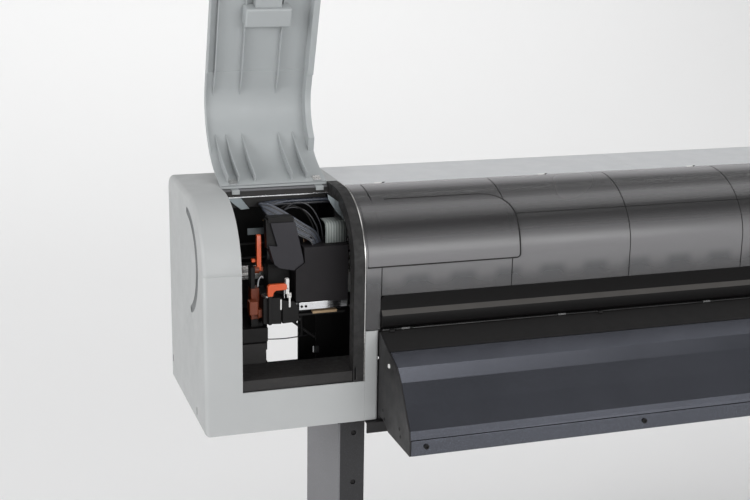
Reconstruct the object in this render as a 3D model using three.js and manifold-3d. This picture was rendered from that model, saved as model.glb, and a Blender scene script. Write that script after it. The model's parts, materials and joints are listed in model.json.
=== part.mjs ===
// A floor-standing large format plotter with its left service door standing open.
// Millimetres, +Z up, +X to the right of a person facing the front, +Y to the rear.
// The origin is on the floor, under the middle of the stand.
import * as THREE from 'three';
import { mergeVertices } from 'three/addons/utils/BufferGeometryUtils.js';
import Module from 'manifold-3d';

const wasm = await Module();
wasm.setup();

// ---------------------------------------------------------------- driving sizes
const BODY_LENGTH = 2700;
const BODY_DEPTH = 365;
const BODY_HEIGHT = 458;
const BODY_FRONT = -205;          // front face of the casing
const BODY_BASE = 801;            // underside of the casing above the floor
const END_LENGTH = 327;           // length of each end housing
const CURVE_DEPTH = 150;          // the casing's front top edge is a quarter ellipse
const CURVE_HEIGHT = 133;
const REAR_RADIUS = 30;
const END_RADIUS = 26;            // rounding of the outer end faces
const SKIN = 3;                   // plastic wall
const SHEET = 3;                  // sheet metal
const GAP = 0.3;                  // between neighbours that touch

const HALF = BODY_LENGTH / 2;
const BAY = HALF - END_LENGTH;    // half of the open span between the housings
const CURVE_BASE = BODY_HEIGHT - CURVE_HEIGHT;

const DOOR = { left: -BAY - 250, right: -BAY - 26, bottom: 87, hingeY: 195, open: -161.5 };
const DOOR_SILL = 85;
const COVER_HINGE_Y = 153;
const COVER_BOTTOM = 262;
const BAND_BOTTOM = 196;
const PLATEN_TOP = 190;
const APRON_MARGIN = 32;          // the apron starts this far in from each housing

const RAIL = { y0: 197, y1: 226, z0: 258, z1: 288 };
const BELT = { y0: 200, y1: 210, z: 318, radius: 14, end: 1290, thickness: 1.8 };
const ROLLER = { y: 210, z: PLATEN_TOP - 12, radius: 11.6, half: 985 };

const LEG = { left: -1045, width: 57, y0: -105, depth: 251 };
const FOOT = { half: 442.5, z0: 85.5, height: 50, width: 66 };
const CASTER = { swivelY: 400, trail: 30, radius: 37.5, width: 26, axle: 5, sides: 24 };
const SPINDLE = { y: 430, z: -120, radius: 14, half: 1024 };
const PANEL = { x0: 1070, x1: 1310, y0: 210, y1: 345, z0: 468, z1: 500 };
const CARTRIDGE = { first: 1106, pitch: 58, width: 50, z0: 84, height: 150, depth: 205 };

// ---------------------------------------------------------------- materials
function material(color, roughness, metalness = 0, opacity = 1) {
  return new THREE.MeshStandardMaterial({
    color, roughness, metalness, opacity, transparent: opacity < 1,
  });
}
const LOOK = {
  lightPlastic: () => material(0xb9bbba, 0.55),
  darkPlastic: () => material(0x2b2a2b, 0.5),
  bezelPlastic: () => material(0x1f1e1d, 0.7),
  smoked: () => material(0x6a686b, 0.2, 0, 0.8),
  darkSheet: () => material(0x35363b, 0.4, 0.3),
  standSheet: () => material(0x55555a, 0.5, 0.3),
  steel: () => material(0xa9abad, 0.35, 0.9),
  aluminium: () => material(0xc0c2c4, 0.4, 0.9),
  blackRubber: () => material(0x161616, 0.85),
  orange: () => material(0xca5a3d, 0.5),
  tube: () => material(0x77808c, 0.4),
  ribbon: () => material(0x9a9da0, 0.5),
};

// ---------------------------------------------------------------- shape helpers
const AXES = {
  x: [new THREE.Vector3(0, 1, 0), new THREE.Vector3(0, 0, 1), new THREE.Vector3(1, 0, 0)],
  y: [new THREE.Vector3(0, 0, 1), new THREE.Vector3(1, 0, 0), new THREE.Vector3(0, 1, 0)],
  z: [new THREE.Vector3(1, 0, 0), new THREE.Vector3(0, 1, 0), new THREE.Vector3(0, 0, 1)],
};

// Extrudes an outline along an axis. Outline points are (y, z), (z, x) or (x, y).
function prism(axis, points, from, to, holes = []) {
  const shape = new THREE.Shape(points.map(([a, b]) => new THREE.Vector2(a, b)));
  shape.holes = holes.map((hole) => new THREE.Path(hole.map(([a, b]) => new THREE.Vector2(a, b))));
  const geometry = new THREE.ExtrudeGeometry(shape, { depth: to - from, bevelEnabled: false });
  geometry.translate(0, 0, from);
  return geometry.applyMatrix4(new THREE.Matrix4().makeBasis(...AXES[axis]));
}

function block(x0, x1, y0, y1, z0, z1) {
  const geometry = new THREE.BoxGeometry(x1 - x0, y1 - y0, z1 - z0);
  return geometry.translate((x0 + x1) / 2, (y0 + y1) / 2, (z0 + z1) / 2);
}

function circle(a, b, radius, sides, turn = 0) {
  return Array.from({ length: sides }, (_, i) => {
    const angle = turn + (2 * Math.PI * i) / sides;
    return [a + radius * Math.cos(angle), b + radius * Math.sin(angle)];
  });
}

function rod(axis, a, b, radius, from, to, sides = 16) {
  return prism(axis, circle(a, b, radius, sides), from, to);
}

function ring(axis, a, b, outer, inner, from, to, sides = 24) {
  const turn = Math.PI / sides;
  return prism(axis, circle(a, b, outer, sides, turn), from, to, [circle(a, b, inner, sides, turn)]);
}

function roundedRect(a0, a1, b0, b1, radius, steps = 3) {
  const corners = [[a1 - radius, b0 + radius, -90], [a1 - radius, b1 - radius, 0],
    [a0 + radius, b1 - radius, 90], [a0 + radius, b0 + radius, 180]];
  return corners.flatMap(([a, b, start]) => Array.from({ length: steps + 1 }, (_, i) => {
    const angle = THREE.MathUtils.degToRad(start + (90 * i) / steps);
    return [a + radius * Math.cos(angle), b + radius * Math.sin(angle)];
  }));
}

// A sheet that follows a line of points, with its thickness on the left of the line.
function sheetOutline(points, thickness) {
  const line = points.map(([a, b]) => new THREE.Vector2(a, b));
  const inner = line.map((point, i) => {
    const before = line[Math.max(i - 1, 0)];
    const after = line[Math.min(i + 1, line.length - 1)];
    const along = after.clone().sub(before).normalize();
    return [point.x - along.y * thickness, point.y + along.x * thickness];
  });
  return [...points, ...inner.reverse()];
}

function toSolid(geometry) {
  const bare = geometry.clone();
  bare.deleteAttribute('normal');
  bare.deleteAttribute('uv');
  const merged = mergeVertices(bare, 1e-4);
  return new wasm.Manifold(new wasm.Mesh({
    numProp: 3,
    vertProperties: new Float32Array(merged.attributes.position.array),
    triVerts: new Uint32Array(merged.index.array),
  }));
}

function toGeometry(solid) {
  const mesh = solid.getMesh();
  const geometry = new THREE.BufferGeometry();
  geometry.setAttribute('position', new THREE.BufferAttribute(new Float32Array(mesh.vertProperties), 3));
  geometry.setIndex(new THREE.BufferAttribute(new Uint32Array(mesh.triVerts), 1));
  geometry.computeVertexNormals();
  return geometry;
}

function join(...geometries) {
  return toGeometry(geometries.map(toSolid).reduce((sum, next) => sum.add(next)));
}

function cut(geometry, ...tools) {
  return toGeometry(tools.map(toSolid).reduce((rest, tool) => rest.subtract(tool), toSolid(geometry)));
}

function mirrorX(geometry) {
  const copy = geometry.index ? geometry.toNonIndexed() : geometry.clone();
  copy.scale(-1, 1, 1);
  const p = copy.attributes.position;
  for (let i = 0; i < p.count; i += 3) {
    const swap = [p.getX(i), p.getY(i), p.getZ(i)];
    p.setXYZ(i, p.getX(i + 1), p.getY(i + 1), p.getZ(i + 1));
    p.setXYZ(i + 1, ...swap);
  }
  return copy;
}

// ---------------------------------------------------------------- casing section
// Points on the casing's front curve, from the vertical front (0) to the flat top (90).
function curve(inset, from = 0, to = 90, steps = 10) {
  return Array.from({ length: steps + 1 }, (_, i) => {
    const angle = THREE.MathUtils.degToRad(from + ((to - from) * i) / steps);
    return [CURVE_DEPTH - (CURVE_DEPTH - inset) * Math.cos(angle),
      CURVE_BASE + (CURVE_HEIGHT - inset) * Math.sin(angle)];
  });
}

function casingOutline(inset) {
  const radius = REAR_RADIUS - inset;
  const rear = Array.from({ length: 5 }, (_, i) => {
    const angle = THREE.MathUtils.degToRad(90 - 22.5 * i);
    return [BODY_DEPTH - REAR_RADIUS + radius * Math.cos(angle),
      BODY_HEIGHT - REAR_RADIUS + radius * Math.sin(angle)];
  });
  return [[inset, inset], ...curve(inset), ...rear, [BODY_DEPTH - inset, inset]];
}

// A closed solid through casing sections of growing inset towards its outer end.
function endSolid(inset, innerX) {
  const steps = 4;
  const radius = END_RADIUS - inset;
  const sections = Array.from({ length: steps + 1 }, (_, i) => {
    const angle = THREE.MathUtils.degToRad((90 * i) / steps);
    const shrink = inset + radius * (1 - Math.sin(angle));
    return { x: HALF - inset - radius * (1 - Math.cos(angle)), points: casingOutline(shrink) };
  });
  sections.push({ x: innerX, points: casingOutline(inset) });
  const count = sections[0].points.length;
  const positions = sections.flatMap(({ x, points }) => points.flatMap(([y, z]) => [x, y, z]));
  const cap = THREE.ShapeUtils.triangulateShape(
    sections[0].points.map(([y, z]) => new THREE.Vector2(y, z)), []);
  const last = (sections.length - 1) * count;
  const index = [];
  for (const [a, b, c] of cap) {
    index.push(a, b, c, last + a, last + c, last + b);
  }
  for (let s = 0; s < sections.length - 1; s += 1) {
    for (let i = 0; i < count; i += 1) {
      const j = (i + 1) % count;
      const [a, b] = [s * count + i, s * count + j];
      index.push(a, b, a + count, b, b + count, a + count);
    }
  }
  const geometry = new THREE.BufferGeometry();
  geometry.setAttribute('position', new THREE.Float32BufferAttribute(positions, 3));
  geometry.setIndex(index);
  return geometry;
}

// ---------------------------------------------------------------- scene
const plotter = new THREE.Group();
const body = new THREE.Group();      // y from the casing's front, z from its underside
body.position.set(0, BODY_FRONT, BODY_BASE);
plotter.add(body);

function add(group, name, geometry, look) {
  const mesh = new THREE.Mesh(geometry, look());
  mesh.name = name;
  group.add(mesh);
  return mesh;
}

const SIDES = [['left', -1], ['right', 1]];
const onSide = (geometry, side) => (side < 0 ? mirrorX(geometry) : geometry);

// ---------------------------------------------------------------- stand
function addStand() {
  const wall = SHEET;
  const [x0, x1] = [-LEG.left - LEG.width, -LEG.left];
  const [y0, y1] = [LEG.y0, LEG.y0 + LEG.depth];
  const channel = [[x0, y0], [x1, y0], [x1, y1], [x0, y1],
    [x0, y1 - wall], [x1 - wall, y1 - wall], [x1 - wall, y0 + wall], [x0, y0 + wall]];
  const legTop = BODY_BASE - 28.6;
  const middle = (x0 + x1) / 2;
  const footTop = FOOT.z0 + FOOT.height;
  for (const [side, sign] of SIDES) {
    const holes = [-70, -182].map((z) => rod('y', BODY_BASE + z, middle - 3, 5.5, y0 - 1, y0 + wall + 1, 12));
    const leg = cut(prism('z', channel, footTop + GAP, legTop), ...holes);
    add(plotter, `stand_leg_${side}`, onSide(leg, sign), LOOK.standSheet);
    const [f0, f1] = [middle - FOOT.width / 2, middle + FOOT.width / 2];
    const foot = cut(
      block(f0, f1, -FOOT.half, FOOT.half, FOOT.z0, footTop),
      block(f0 + wall, f1 - wall, -340, 340, FOOT.z0 - 1, footTop - wall),
    );
    add(plotter, `stand_foot_${side}`, onSide(foot, sign), LOOK.standSheet);
  }
  const beam = [[-30, 240], [50, 240], [50, 243], [-27, 243], [-27, 337], [50, 337], [50, 340], [-30, 340]];
  const reach = x0 - GAP;
  add(plotter, 'stand_cross_beam', prism('x', beam, -reach, reach), LOOK.standSheet);
}

function addCasters() {
  const { radius, width, axle, sides, swivelY, trail } = CASTER;
  const outer = radius / Math.cos(Math.PI / sides);
  const forkTop = FOOT.z0 - 0.5;
  const footMiddle = -LEG.left - LEG.width / 2;
  for (const [side, sign] of SIDES) {
    for (const [end, way] of [['front', -1], ['rear', 1]]) {
      const group = new THREE.Group();
      group.position.set(sign * footMiddle, way * swivelY, 0);
      group.rotation.z = way > 0 ? Math.PI : 0;
      plotter.add(group);
      const ears = [-1, 1].map((ear) => {
        const [a, b] = [width / 2 + 2, width / 2 + 5].map((x) => ear * x).sort((p, q) => p - q);
        const outline = [[-18, forkTop - 6], [18, forkTop - 6], [trail + 11, radius + 6],
          [trail + 11, radius - 8], [trail - 9, radius - 8]];
        return prism('x', outline, a, b);
      });
      const fork = join(
        rod('z', 0, 0, 28, forkTop - 6.2, forkTop, 20),
        ...ears,
        rod('x', trail, radius, axle, -width / 2 - 7, width / 2 + 7, 12),
      );
      add(group, `caster_fork_${end}_${side}`, fork, LOOK.steel);
      const wheel = ring('x', trail, radius, outer, axle + 0.4, -width / 2, width / 2, sides);
      add(group, `caster_wheel_${end}_${side}`, wheel, LOOK.blackRubber);
    }
  }
}

function addRollHolder() {
  const { y, z, radius, half } = SPINDLE;
  const outline = [[352, -205], [410, -175], [462, -140], [462, -95], [430, -78], [352, -60]];
  const plate = prism('x', outline, 1006, 1012, [circle(y, z, radius + 0.6, 20)]);
  const foot = block(990, 1012, 351.5, 357, -205, -60);
  const flange = join(
    ring('x', y, z, 62, radius + GAP, 850, 858, 28),
    ring('x', y, z, 37, radius + GAP, 806, 850.1, 28),
  );
  for (const [side, sign] of SIDES) {
    add(body, `roll_support_${side}`, onSide(join(plate, foot), sign), LOOK.darkSheet);
    add(body, `roll_flange_${side}`, onSide(flange, sign), LOOK.darkPlastic);
  }
  add(body, 'roll_spindle', rod('x', y, z, radius, -half, half, 20), LOOK.aluminium);
}

// ---------------------------------------------------------------- chassis
function addChassis() {
  const back = [[60, -28], [63, -28], [63, -4], [347, -4], [347, -28], [350, -28], [350, -0.6], [60, -0.6]];
  const lip = [[-10, -25], [-7, -25], [-7, -5], [61, -5], [61, -2], [-10, -2]];
  const beam = join(prism('x', back, -1060, 1060), prism('x', lip, -BAY + 3, BAY - 3));
  add(body, 'base_beam', beam, LOOK.darkSheet);

  const frameX = HALF - 20;
  const frame = prism('x', casingOutline(10), frameX, frameX + SHEET);
  for (const [side, sign] of SIDES) {
    add(body, `${side}_side_frame`, onSide(frame, sign), LOOK.steel);
  }
  const reach = frameX - 0.5;
  const beamSection = [[200, 436], [216, 436], [216, 450], [213, 450], [213, 439], [200, 439]];
  add(body, 'top_beam', prism('x', beamSection, -reach, reach), LOOK.aluminium);
  const { y0, y1, z0, z1 } = RAIL;
  const rail = [[y0, z0], [y1, z0], [y1, z1], [y0, z1], [y0, z1 - 11], [y0 + 5, z1 - 11],
    [y0 + 5, z0 + 11], [y0, z0 + 11]];
  add(body, 'guide_rail', prism('x', rail, -reach, reach), LOOK.aluminium);
  const platen = [[4, PLATEN_TOP - 4], [190, PLATEN_TOP - 4], [190, PLATEN_TOP], [4, PLATEN_TOP]];
  const feet = [[20, 182], [188, 182], [188, PLATEN_TOP - 3.9], [20, PLATEN_TOP - 3.9]];
  add(body, 'platen', join(prism('x', platen, -1000, 1000), prism('x', feet, -996, 996)), LOOK.aluminium);
}

// ---------------------------------------------------------------- casing
function addCasing() {
  const shell = cut(endSolid(0, BAY), endSolid(SKIN, BAY - 10));
  const opening = block(BAY - 5, -DOOR.left + 1, -10, DOOR.hingeY + 5, DOOR_SILL, BODY_HEIGHT + 10);
  const rearWindow = block(BAY + 30, BAY + 150, BODY_DEPTH - 5, BODY_DEPTH + 2, 12, 150);
  add(body, 'left_housing', mirrorX(cut(shell, opening, rearWindow)), LOOK.lightPlastic);

  const { first, pitch, width, z0, height, depth } = CARTRIDGE;
  const pocket = block(first - width / 2 - 9, first + 3 * pitch + width / 2 + 9, -1, depth, z0 - 8, z0 + height + 8);
  const liner = cut(pocket, ...Array.from({ length: 4 }, (_, i) => {
    const x = first + i * pitch;
    return block(x - width / 2 - 1, x + width / 2 + 1, -2, depth - 5, z0 - 1, z0 + height + 1);
  }));
  const pierced = cut(shell, block(first - 33, first + 3 * pitch + 33, -2, SKIN + 1, z0 - 7, z0 + height + 7));
  const bayWall = cut(liner, block(0, HALF, -2, 0, 0, BODY_HEIGHT));
  add(body, 'right_housing', join(pierced, bayWall), LOOK.lightPlastic);

  const archOuter = [[0, DOOR_SILL + GAP], ...curve(0), [DOOR.hingeY + 4, BODY_HEIGHT]];
  const archInner = [[16, DOOR_SILL + GAP], ...curve(16), [DOOR.hingeY + 4, BODY_HEIGHT - 16]];
  const arch = prism('x', [...archOuter, ...archInner.reverse()], -BAY - 24.5, -BAY - GAP);
  add(body, 'left_bezel', arch, LOOK.bezelPlastic);

  const reach = BAY - GAP;
  const top = [[COVER_HINGE_Y + 4, BODY_HEIGHT - SKIN], [COVER_HINGE_Y + 4, BODY_HEIGHT],
    [BODY_DEPTH - 24, BODY_HEIGHT], [BODY_DEPTH - 8, BODY_HEIGHT - 5], [BODY_DEPTH - 1, BODY_HEIGHT - 16],
    [BODY_DEPTH, BODY_HEIGHT - 28], [BODY_DEPTH - SKIN, BODY_HEIGHT - 28],
    [BODY_DEPTH - 4, BODY_HEIGHT - 17], [BODY_DEPTH - 10, BODY_HEIGHT - 8], [BODY_DEPTH - 24, BODY_HEIGHT - SKIN]];
  add(body, 'top_cover', prism('x', top, -reach, reach), LOOK.lightPlastic);

  const rear = cut(
    block(-reach, reach, BODY_DEPTH - SHEET, BODY_DEPTH, 0, BODY_HEIGHT - 28.4),
    block(-990, 990, BODY_DEPTH - 5, BODY_DEPTH + 2, PLATEN_TOP - 14, PLATEN_TOP + 12),
  );
  add(body, 'rear_panel', rear, LOOK.darkSheet);
  add(body, 'front_lower_panel', block(-reach, reach, 0, SHEET, 0, PLATEN_TOP), LOOK.lightPlastic);
}

function addFrontCover() {
  const reach = BAY - 0.5;
  const wall = 4;
  const outer = [[0, COVER_BOTTOM + GAP], ...curve(0, 0, 90, 12), [COVER_HINGE_Y, BODY_HEIGHT]];
  const inner = [[wall, COVER_BOTTOM + GAP], ...curve(wall, 0, 90, 12), [COVER_HINGE_Y, BODY_HEIGHT - wall]];
  const bandReach = BAY - APRON_MARGIN;
  const tab = block(bandReach + 0.6, reach, 0, wall, BAND_BOTTOM - 4, COVER_BOTTOM + 1);
  const shell = join(prism('x', [...outer, ...inner.reverse()], -reach, reach), tab, mirrorX(tab));
  add(body, 'front_cover', shell, LOOK.smoked);
  const band = [[-6, BAND_BOTTOM], [6, BAND_BOTTOM], [6, COVER_BOTTOM], [-1, COVER_BOTTOM],
    [-1, 237], [-9, 222], [-9, BAND_BOTTOM + 4]];
  add(body, 'front_cover_band', prism('x', band, -bandReach, bandReach), LOOK.darkPlastic);
}

// ---------------------------------------------------------------- apron
const APRON_LINE = [[-6, 188], [-62, 164.5], [-109, 148], [-132, 125], [-157, 88], [-186.5, 46], [-190, 29]];

function addApron() {
  const reach = BAY - APRON_MARGIN;
  const sheet = prism('x', sheetOutline(APRON_LINE, SHEET), -reach, reach);
  add(body, 'apron_panel', sheet, LOOK.darkSheet);
  const rail = [[-193, -3], [-67, -3], [-67, 0], [-190, 0], [-190, 28], [-193, 28]];
  add(body, 'apron_rail', prism('x', rail, -reach, reach), LOOK.darkSheet);
  const outline = [...APRON_LINE, [-193, 28.6], [-193, -3], [-67, -3], [-35, 11], [-4, 11], [-4, 188]];
  for (const [side, sign] of SIDES) {
    const plate = prism('x', outline, reach + GAP, reach + GAP + SHEET);
    add(body, `apron_side_${side}`, onSide(plate, sign), LOOK.darkSheet);
  }
}

// ---------------------------------------------------------------- service door
const RIB_PLACES = [-232, -209, -175, -97, -65];
const UPPER_RIB_PLACES = [-232, -175, -97];

// The door is drawn shut, then turned about its hinge line to stand open.
function addServiceDoor() {
  const { left, right, bottom, hingeY, open } = DOOR;
  const edge = hingeY - 0.5;
  const section = (inset) => [[inset, bottom], ...curve(inset, 0, 90, 12), [edge, BODY_HEIGHT - inset]];
  const skin = prism('x', [...section(0), ...section(SKIN).reverse()], left, right);
  const flange = (depth, from, to) => prism('x', [
    ...section(1), ...section(depth).filter(([, z]) => z < BODY_HEIGHT - 60).reverse(),
  ], from, to);
  const lip = block(left, right, 1, 12, bottom, bottom + SKIN);
  const ribOutline = [...curve(SKIN - 0.5, 32, 90, 8), [edge - 8, BODY_HEIGHT - SKIN + 0.5],
    [edge - 8, BODY_HEIGHT - 22], [CURVE_DEPTH, BODY_HEIGHT - 23], [95, BODY_HEIGHT - 33]];
  const ribs = RIB_PLACES.map((x) => prism('x', ribOutline, -BAY + x - 1.5, -BAY + x + 1.5));
  const upperOutline = [[SKIN - 0.5, 320], [15, 312], [13, 240], [SKIN - 0.5, 196]];
  const upperRibs = UPPER_RIB_PLACES.map((x) => prism('x', upperOutline, -BAY + x - 1.5, -BAY + x + 1.5));
  const door = join(skin, flange(28, right - SKIN, right), flange(15, left, left + SKIN), lip, ...ribs, ...upperRibs);

  const hinge = new THREE.Group();
  hinge.position.set(0, hingeY, BODY_HEIGHT);
  hinge.rotation.x = THREE.MathUtils.degToRad(open);
  body.add(hinge);
  const shut = new THREE.Group();
  shut.position.set(0, -hingeY, -BODY_HEIGHT);
  hinge.add(shut);
  add(shut, 'left_access_door', door, LOOK.lightPlastic);
  const latch = join(
    block(-BAY - 181, -BAY - 84, SKIN + GAP, 36, 143, 183),
    block(-BAY - 160, -BAY - 105, SKIN + GAP, 28, 120, 143.5),
  );
  add(shut, 'door_latch', latch, LOOK.lightPlastic);
}

// ---------------------------------------------------------------- carriage and its drive
function addCarriage() {
  const [x0, x1] = [-BAY - 165, -BAY - 8];
  const base = join(
    block(x0, x1, 98, 194, 213, 229),
    block(x0 + 10, x1 - 10, 184, 194, 228.9, 334),
    block(x0 + 60, x0 + 100, 193.9, BELT.y0 - 0.4, 318, 334),
  );
  add(body, 'carriage_base', base, LOOK.aluminium);
  const coverSolid = join(
    block(-BAY - 119, x1, 92, 175, 230, 347),
    block(-BAY - 172, -BAY - 118.9, 102, 175, 305, 400),
    block(-BAY - 119.1, -BAY - 100, 102, 175, 330, 400),
    block(-BAY - 180, -BAY - 124, 102, 175, 399.9, 412),
    block(-BAY - 168, -BAY - 118.9, 140, 175, 230, 305.1),
  );
  const hollow = block(-BAY - 112, x1 - 6, 98, 176, 229, 341);
  add(body, 'carriage_cover', cut(coverSolid, hollow), LOOK.darkPlastic);
  const head = join(
    block(x0 + 12, x1 - 12, 108, 172, 199, 212.7),
    block(x0 + 20, x1 - 20, 116, 164, 196.5, 199.1),
  );
  add(body, 'print_head', head, LOOK.steel);
}

function addDrive() {
  const { y0, y1, z, radius, end, thickness } = BELT;
  const stadium = (r) => {
    const half = (centre, start) => Array.from({ length: 9 }, (_, i) => {
      const angle = THREE.MathUtils.degToRad(start + 22.5 * i);
      return [z + r * Math.sin(angle), centre + r * Math.cos(angle)];
    });
    return [...half(end, -90), ...half(-end, 90)];
  };
  const belt = cut(prism('y', stadium(radius + thickness), y0, y1), prism('y', stadium(radius), y0 - 1, y1 + 1));
  add(body, 'timing_belt', belt, LOOK.blackRubber);
  const pulley = (x) => join(
    ring('y', z, x, radius - 1, 3.4, y0 - 0.5, y1 + 0.5, 20),
    ring('y', z, x, radius - 3, 3.4, y1 + 0.4, y1 + 3, 20),
  );
  add(body, 'drive_pulley', pulley(end), LOOK.aluminium);
  add(body, 'idler_pulley', pulley(-end), LOOK.aluminium);
  const motor = join(
    rod('y', z, end, 26, y1 + 6, y1 + 76, 24),
    rod('y', z, end, 3, y0 - 2, y1 + 6.1, 12),
  );
  add(body, 'carriage_motor', motor, LOOK.darkPlastic);
}

function addSupply() {
  const route = new THREE.CatmullRomCurve3([
    [-20, 188, 421], [-400, 188, 421], [-BAY + 40, 188, 421], [-BAY - 100, 188, 421], [-BAY - 140, 188, 408],
    [-BAY - 138, 188, 388], [-BAY - 110, 187, 372], [-BAY - 70, 178, 360], [-BAY - 35, 160, 356],
  ].map(([x, y, z]) => new THREE.Vector3(x, y, z)));
  const section = new THREE.Shape(roundedRect(-5, 5, -6, 6, 3, 1).map(([a, b]) => new THREE.Vector2(a, b)));
  const tubes = new THREE.ExtrudeGeometry(section, { steps: 60, extrudePath: route, bevelEnabled: false });
  add(body, 'ink_tubes', tubes, LOOK.tube);
  const [low, high] = [350, 394];
  const bend = (high - low) / 2;
  const arc = Array.from({ length: 9 }, (_, i) => {
    const angle = THREE.MathUtils.degToRad(-90 - 22.5 * i);
    return [low + bend + bend * Math.sin(angle), -BAY - 55 + bend * Math.cos(angle)];
  });
  const line = [[low, -BAY - 15], ...arc, [high, -20]];
  add(body, 'flat_cable', prism('y', sheetOutline(line, 4), 112, 150), LOOK.ribbon);
}

function addMediaFeed() {
  const { y, z, radius, half } = ROLLER;
  add(body, 'grit_roller', rod('x', y, z, radius, -half, half, 20), LOOK.steel);
  const rollers = Array.from({ length: 17 }, (_, i) => {
    const x = (i - 8) * 112;
    return join(
      rod('x', y, PLATEN_TOP + 7.2, 7, x - 24, x + 24, 12),
      block(x - 30, x + 30, y + 8, 254, PLATEN_TOP + 12, PLATEN_TOP + 50),
      block(x - 8, x + 8, y + 2, y + 9, PLATEN_TOP + 8, PLATEN_TOP + 20),
    );
  });
  const bar = block(-950, 950, 252, 266, PLATEN_TOP + 6, PLATEN_TOP + 20);
  add(body, 'pinch_rollers', join(bar, ...rollers), LOOK.darkPlastic);
  const lever = join(
    rod('x', 382, 330, 11, 900, 914, 16),
    block(903, 911, 378, 386, 330, 425),
    rod('x', 382, 430, 9, 892, 922, 16),
  );
  add(body, 'pressure_lever', lever, LOOK.darkPlastic);
}

// ---------------------------------------------------------------- service station
function addServiceStation() {
  const x = -BAY;
  const station = join(
    block(x - 190, x - 105, 100, 182, 156, 194),
    block(x - 190, x - 172, 100, 182, 3.5, 156.1),
    block(x - 206, x - 189.9, 118, 142, 130, 262),
    block(x - 206, x - 197, 118, 142, 261.9, 306),
  );
  add(body, 'capping_station', station, LOOK.darkPlastic);
  const lock = join(
    rod('x', 130, 298, 6, x - 196, x - 188, 14),
    block(x - 195, x - 189, 126, 134, 298, 354),
    rod('x', 130, 356, 6, x - 196, x - 188, 14),
  );
  add(body, 'carriage_lock_lever', lock, LOOK.orange);
  const wiper = join(
    rod('y', 178, x - 165, 7, 83, 99.5, 14),
    block(x - 169, x - 161, 84, 90, 178, 262),
    block(x - 169, x - 138, 84, 90, 254, 262),
  );
  add(body, 'wiper_lever', wiper, LOOK.orange);
}

// ---------------------------------------------------------------- control panel and ink
function addControlPanel() {
  const { x0, x1, y0, y1, z0, z1 } = PANEL;
  const tilt = Math.atan2(z1 - z0, y1 - y0);
  const base = BODY_HEIGHT + GAP;
  const wedge = prism('x', [[y0 - 6, base], [y1, base], [y1, z1], [y0, z0]], x0, x1);
  const place = new THREE.Matrix4().makeRotationX(tilt).setPosition(0, y0, z0);
  const onFace = (geometry) => geometry.applyMatrix4(place);
  const buttons = [['power_button', x0 + 32, 9], ['menu_button', x1 - 32, 9]];
  const screen = block(x0 + 66, x1 - 66, 40, 104, -2.5, 2);
  const wells = buttons.map(([, x, r]) => rod('z', x, 70, r + 0.8, -7, 2, 18));
  add(body, 'control_panel', cut(wedge, onFace(screen), ...wells.map(onFace)), LOOK.darkPlastic);
  for (const [name, x, r] of buttons) {
    add(body, name, onFace(rod('z', x, 70, r, -4, 2.5, 18)), LOOK.lightPlastic);
  }
}

function addCartridges() {
  const { first, pitch, width, z0, height, depth } = CARTRIDGE;
  for (const [i, ink] of ['black', 'cyan', 'magenta', 'yellow'].entries()) {
    const x = first + i * pitch;
    const cartridge = join(
      block(x - width / 2, x + width / 2, -6, depth - 8, z0, z0 + height),
      block(x - width / 2 + 8, x + width / 2 - 8, -18, -5.9, z0 + 20, z0 + height - 20),
    );
    add(body, `ink_cartridge_${ink}`, cartridge, LOOK.darkPlastic);
  }
}

addStand();
addCasters();
addRollHolder();
addChassis();
addCasing();
addFrontCover();
addApron();
addServiceDoor();
addCarriage();
addDrive();
addSupply();
addMediaFeed();
addServiceStation();
addControlPanel();
addCartridges();

export default plotter;
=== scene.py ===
"""Looks for a large format plotter: studio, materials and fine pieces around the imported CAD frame."""
import json
import math

import bmesh
import bpy
from mathutils import Matrix, Vector


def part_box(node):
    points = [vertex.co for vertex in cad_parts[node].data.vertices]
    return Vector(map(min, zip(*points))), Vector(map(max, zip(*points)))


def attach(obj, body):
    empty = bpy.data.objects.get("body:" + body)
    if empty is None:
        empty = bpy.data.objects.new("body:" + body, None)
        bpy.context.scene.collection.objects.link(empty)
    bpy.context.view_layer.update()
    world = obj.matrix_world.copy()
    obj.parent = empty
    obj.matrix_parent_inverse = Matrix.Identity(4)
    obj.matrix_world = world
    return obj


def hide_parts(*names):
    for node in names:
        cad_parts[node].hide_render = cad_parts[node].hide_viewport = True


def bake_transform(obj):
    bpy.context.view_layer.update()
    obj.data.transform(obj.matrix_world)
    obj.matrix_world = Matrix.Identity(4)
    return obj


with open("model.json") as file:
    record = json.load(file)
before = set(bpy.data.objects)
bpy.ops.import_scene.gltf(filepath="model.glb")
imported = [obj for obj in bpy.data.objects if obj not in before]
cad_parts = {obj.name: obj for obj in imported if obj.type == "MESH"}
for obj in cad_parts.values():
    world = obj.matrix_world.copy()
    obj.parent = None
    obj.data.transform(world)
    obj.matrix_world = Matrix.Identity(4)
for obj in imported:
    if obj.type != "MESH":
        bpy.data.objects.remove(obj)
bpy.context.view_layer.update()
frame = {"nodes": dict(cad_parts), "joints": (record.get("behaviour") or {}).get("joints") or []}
SCENE = bpy.context.scene
MM = 0.001
SIDES = ("left", "right")
MACHINE = "machine"

# The local frame of the body, in millimetres: x from the left housing's inner edge, y from its front,
# z from its base.
housing_low, housing_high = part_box("left_housing")
ORIGIN = Vector((housing_high.x, housing_low.y, housing_low.z))
END = (housing_high.x - housing_low.x) / MM
DEPTH = (housing_high.y - housing_low.y) / MM
HEIGHT = (housing_high.z - housing_low.z) / MM
SPAN = -2 * ORIGIN.x / MM
CURVE_DEPTH, CURVE_HEIGHT = 150, 133
CURVE_BASE = HEIGHT - CURVE_HEIGHT
REAR_RADIUS = 30
DOOR_LEFT, DOOR_RIGHT, DOOR_BOTTOM, DOOR_SILL = -250, -26, 87, 85
HINGE_Y = 195
DOOR_ANGLE = next(j for j in frame["joints"] if j["name"] == "left_door_hinge")["range_deg"][1]


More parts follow.
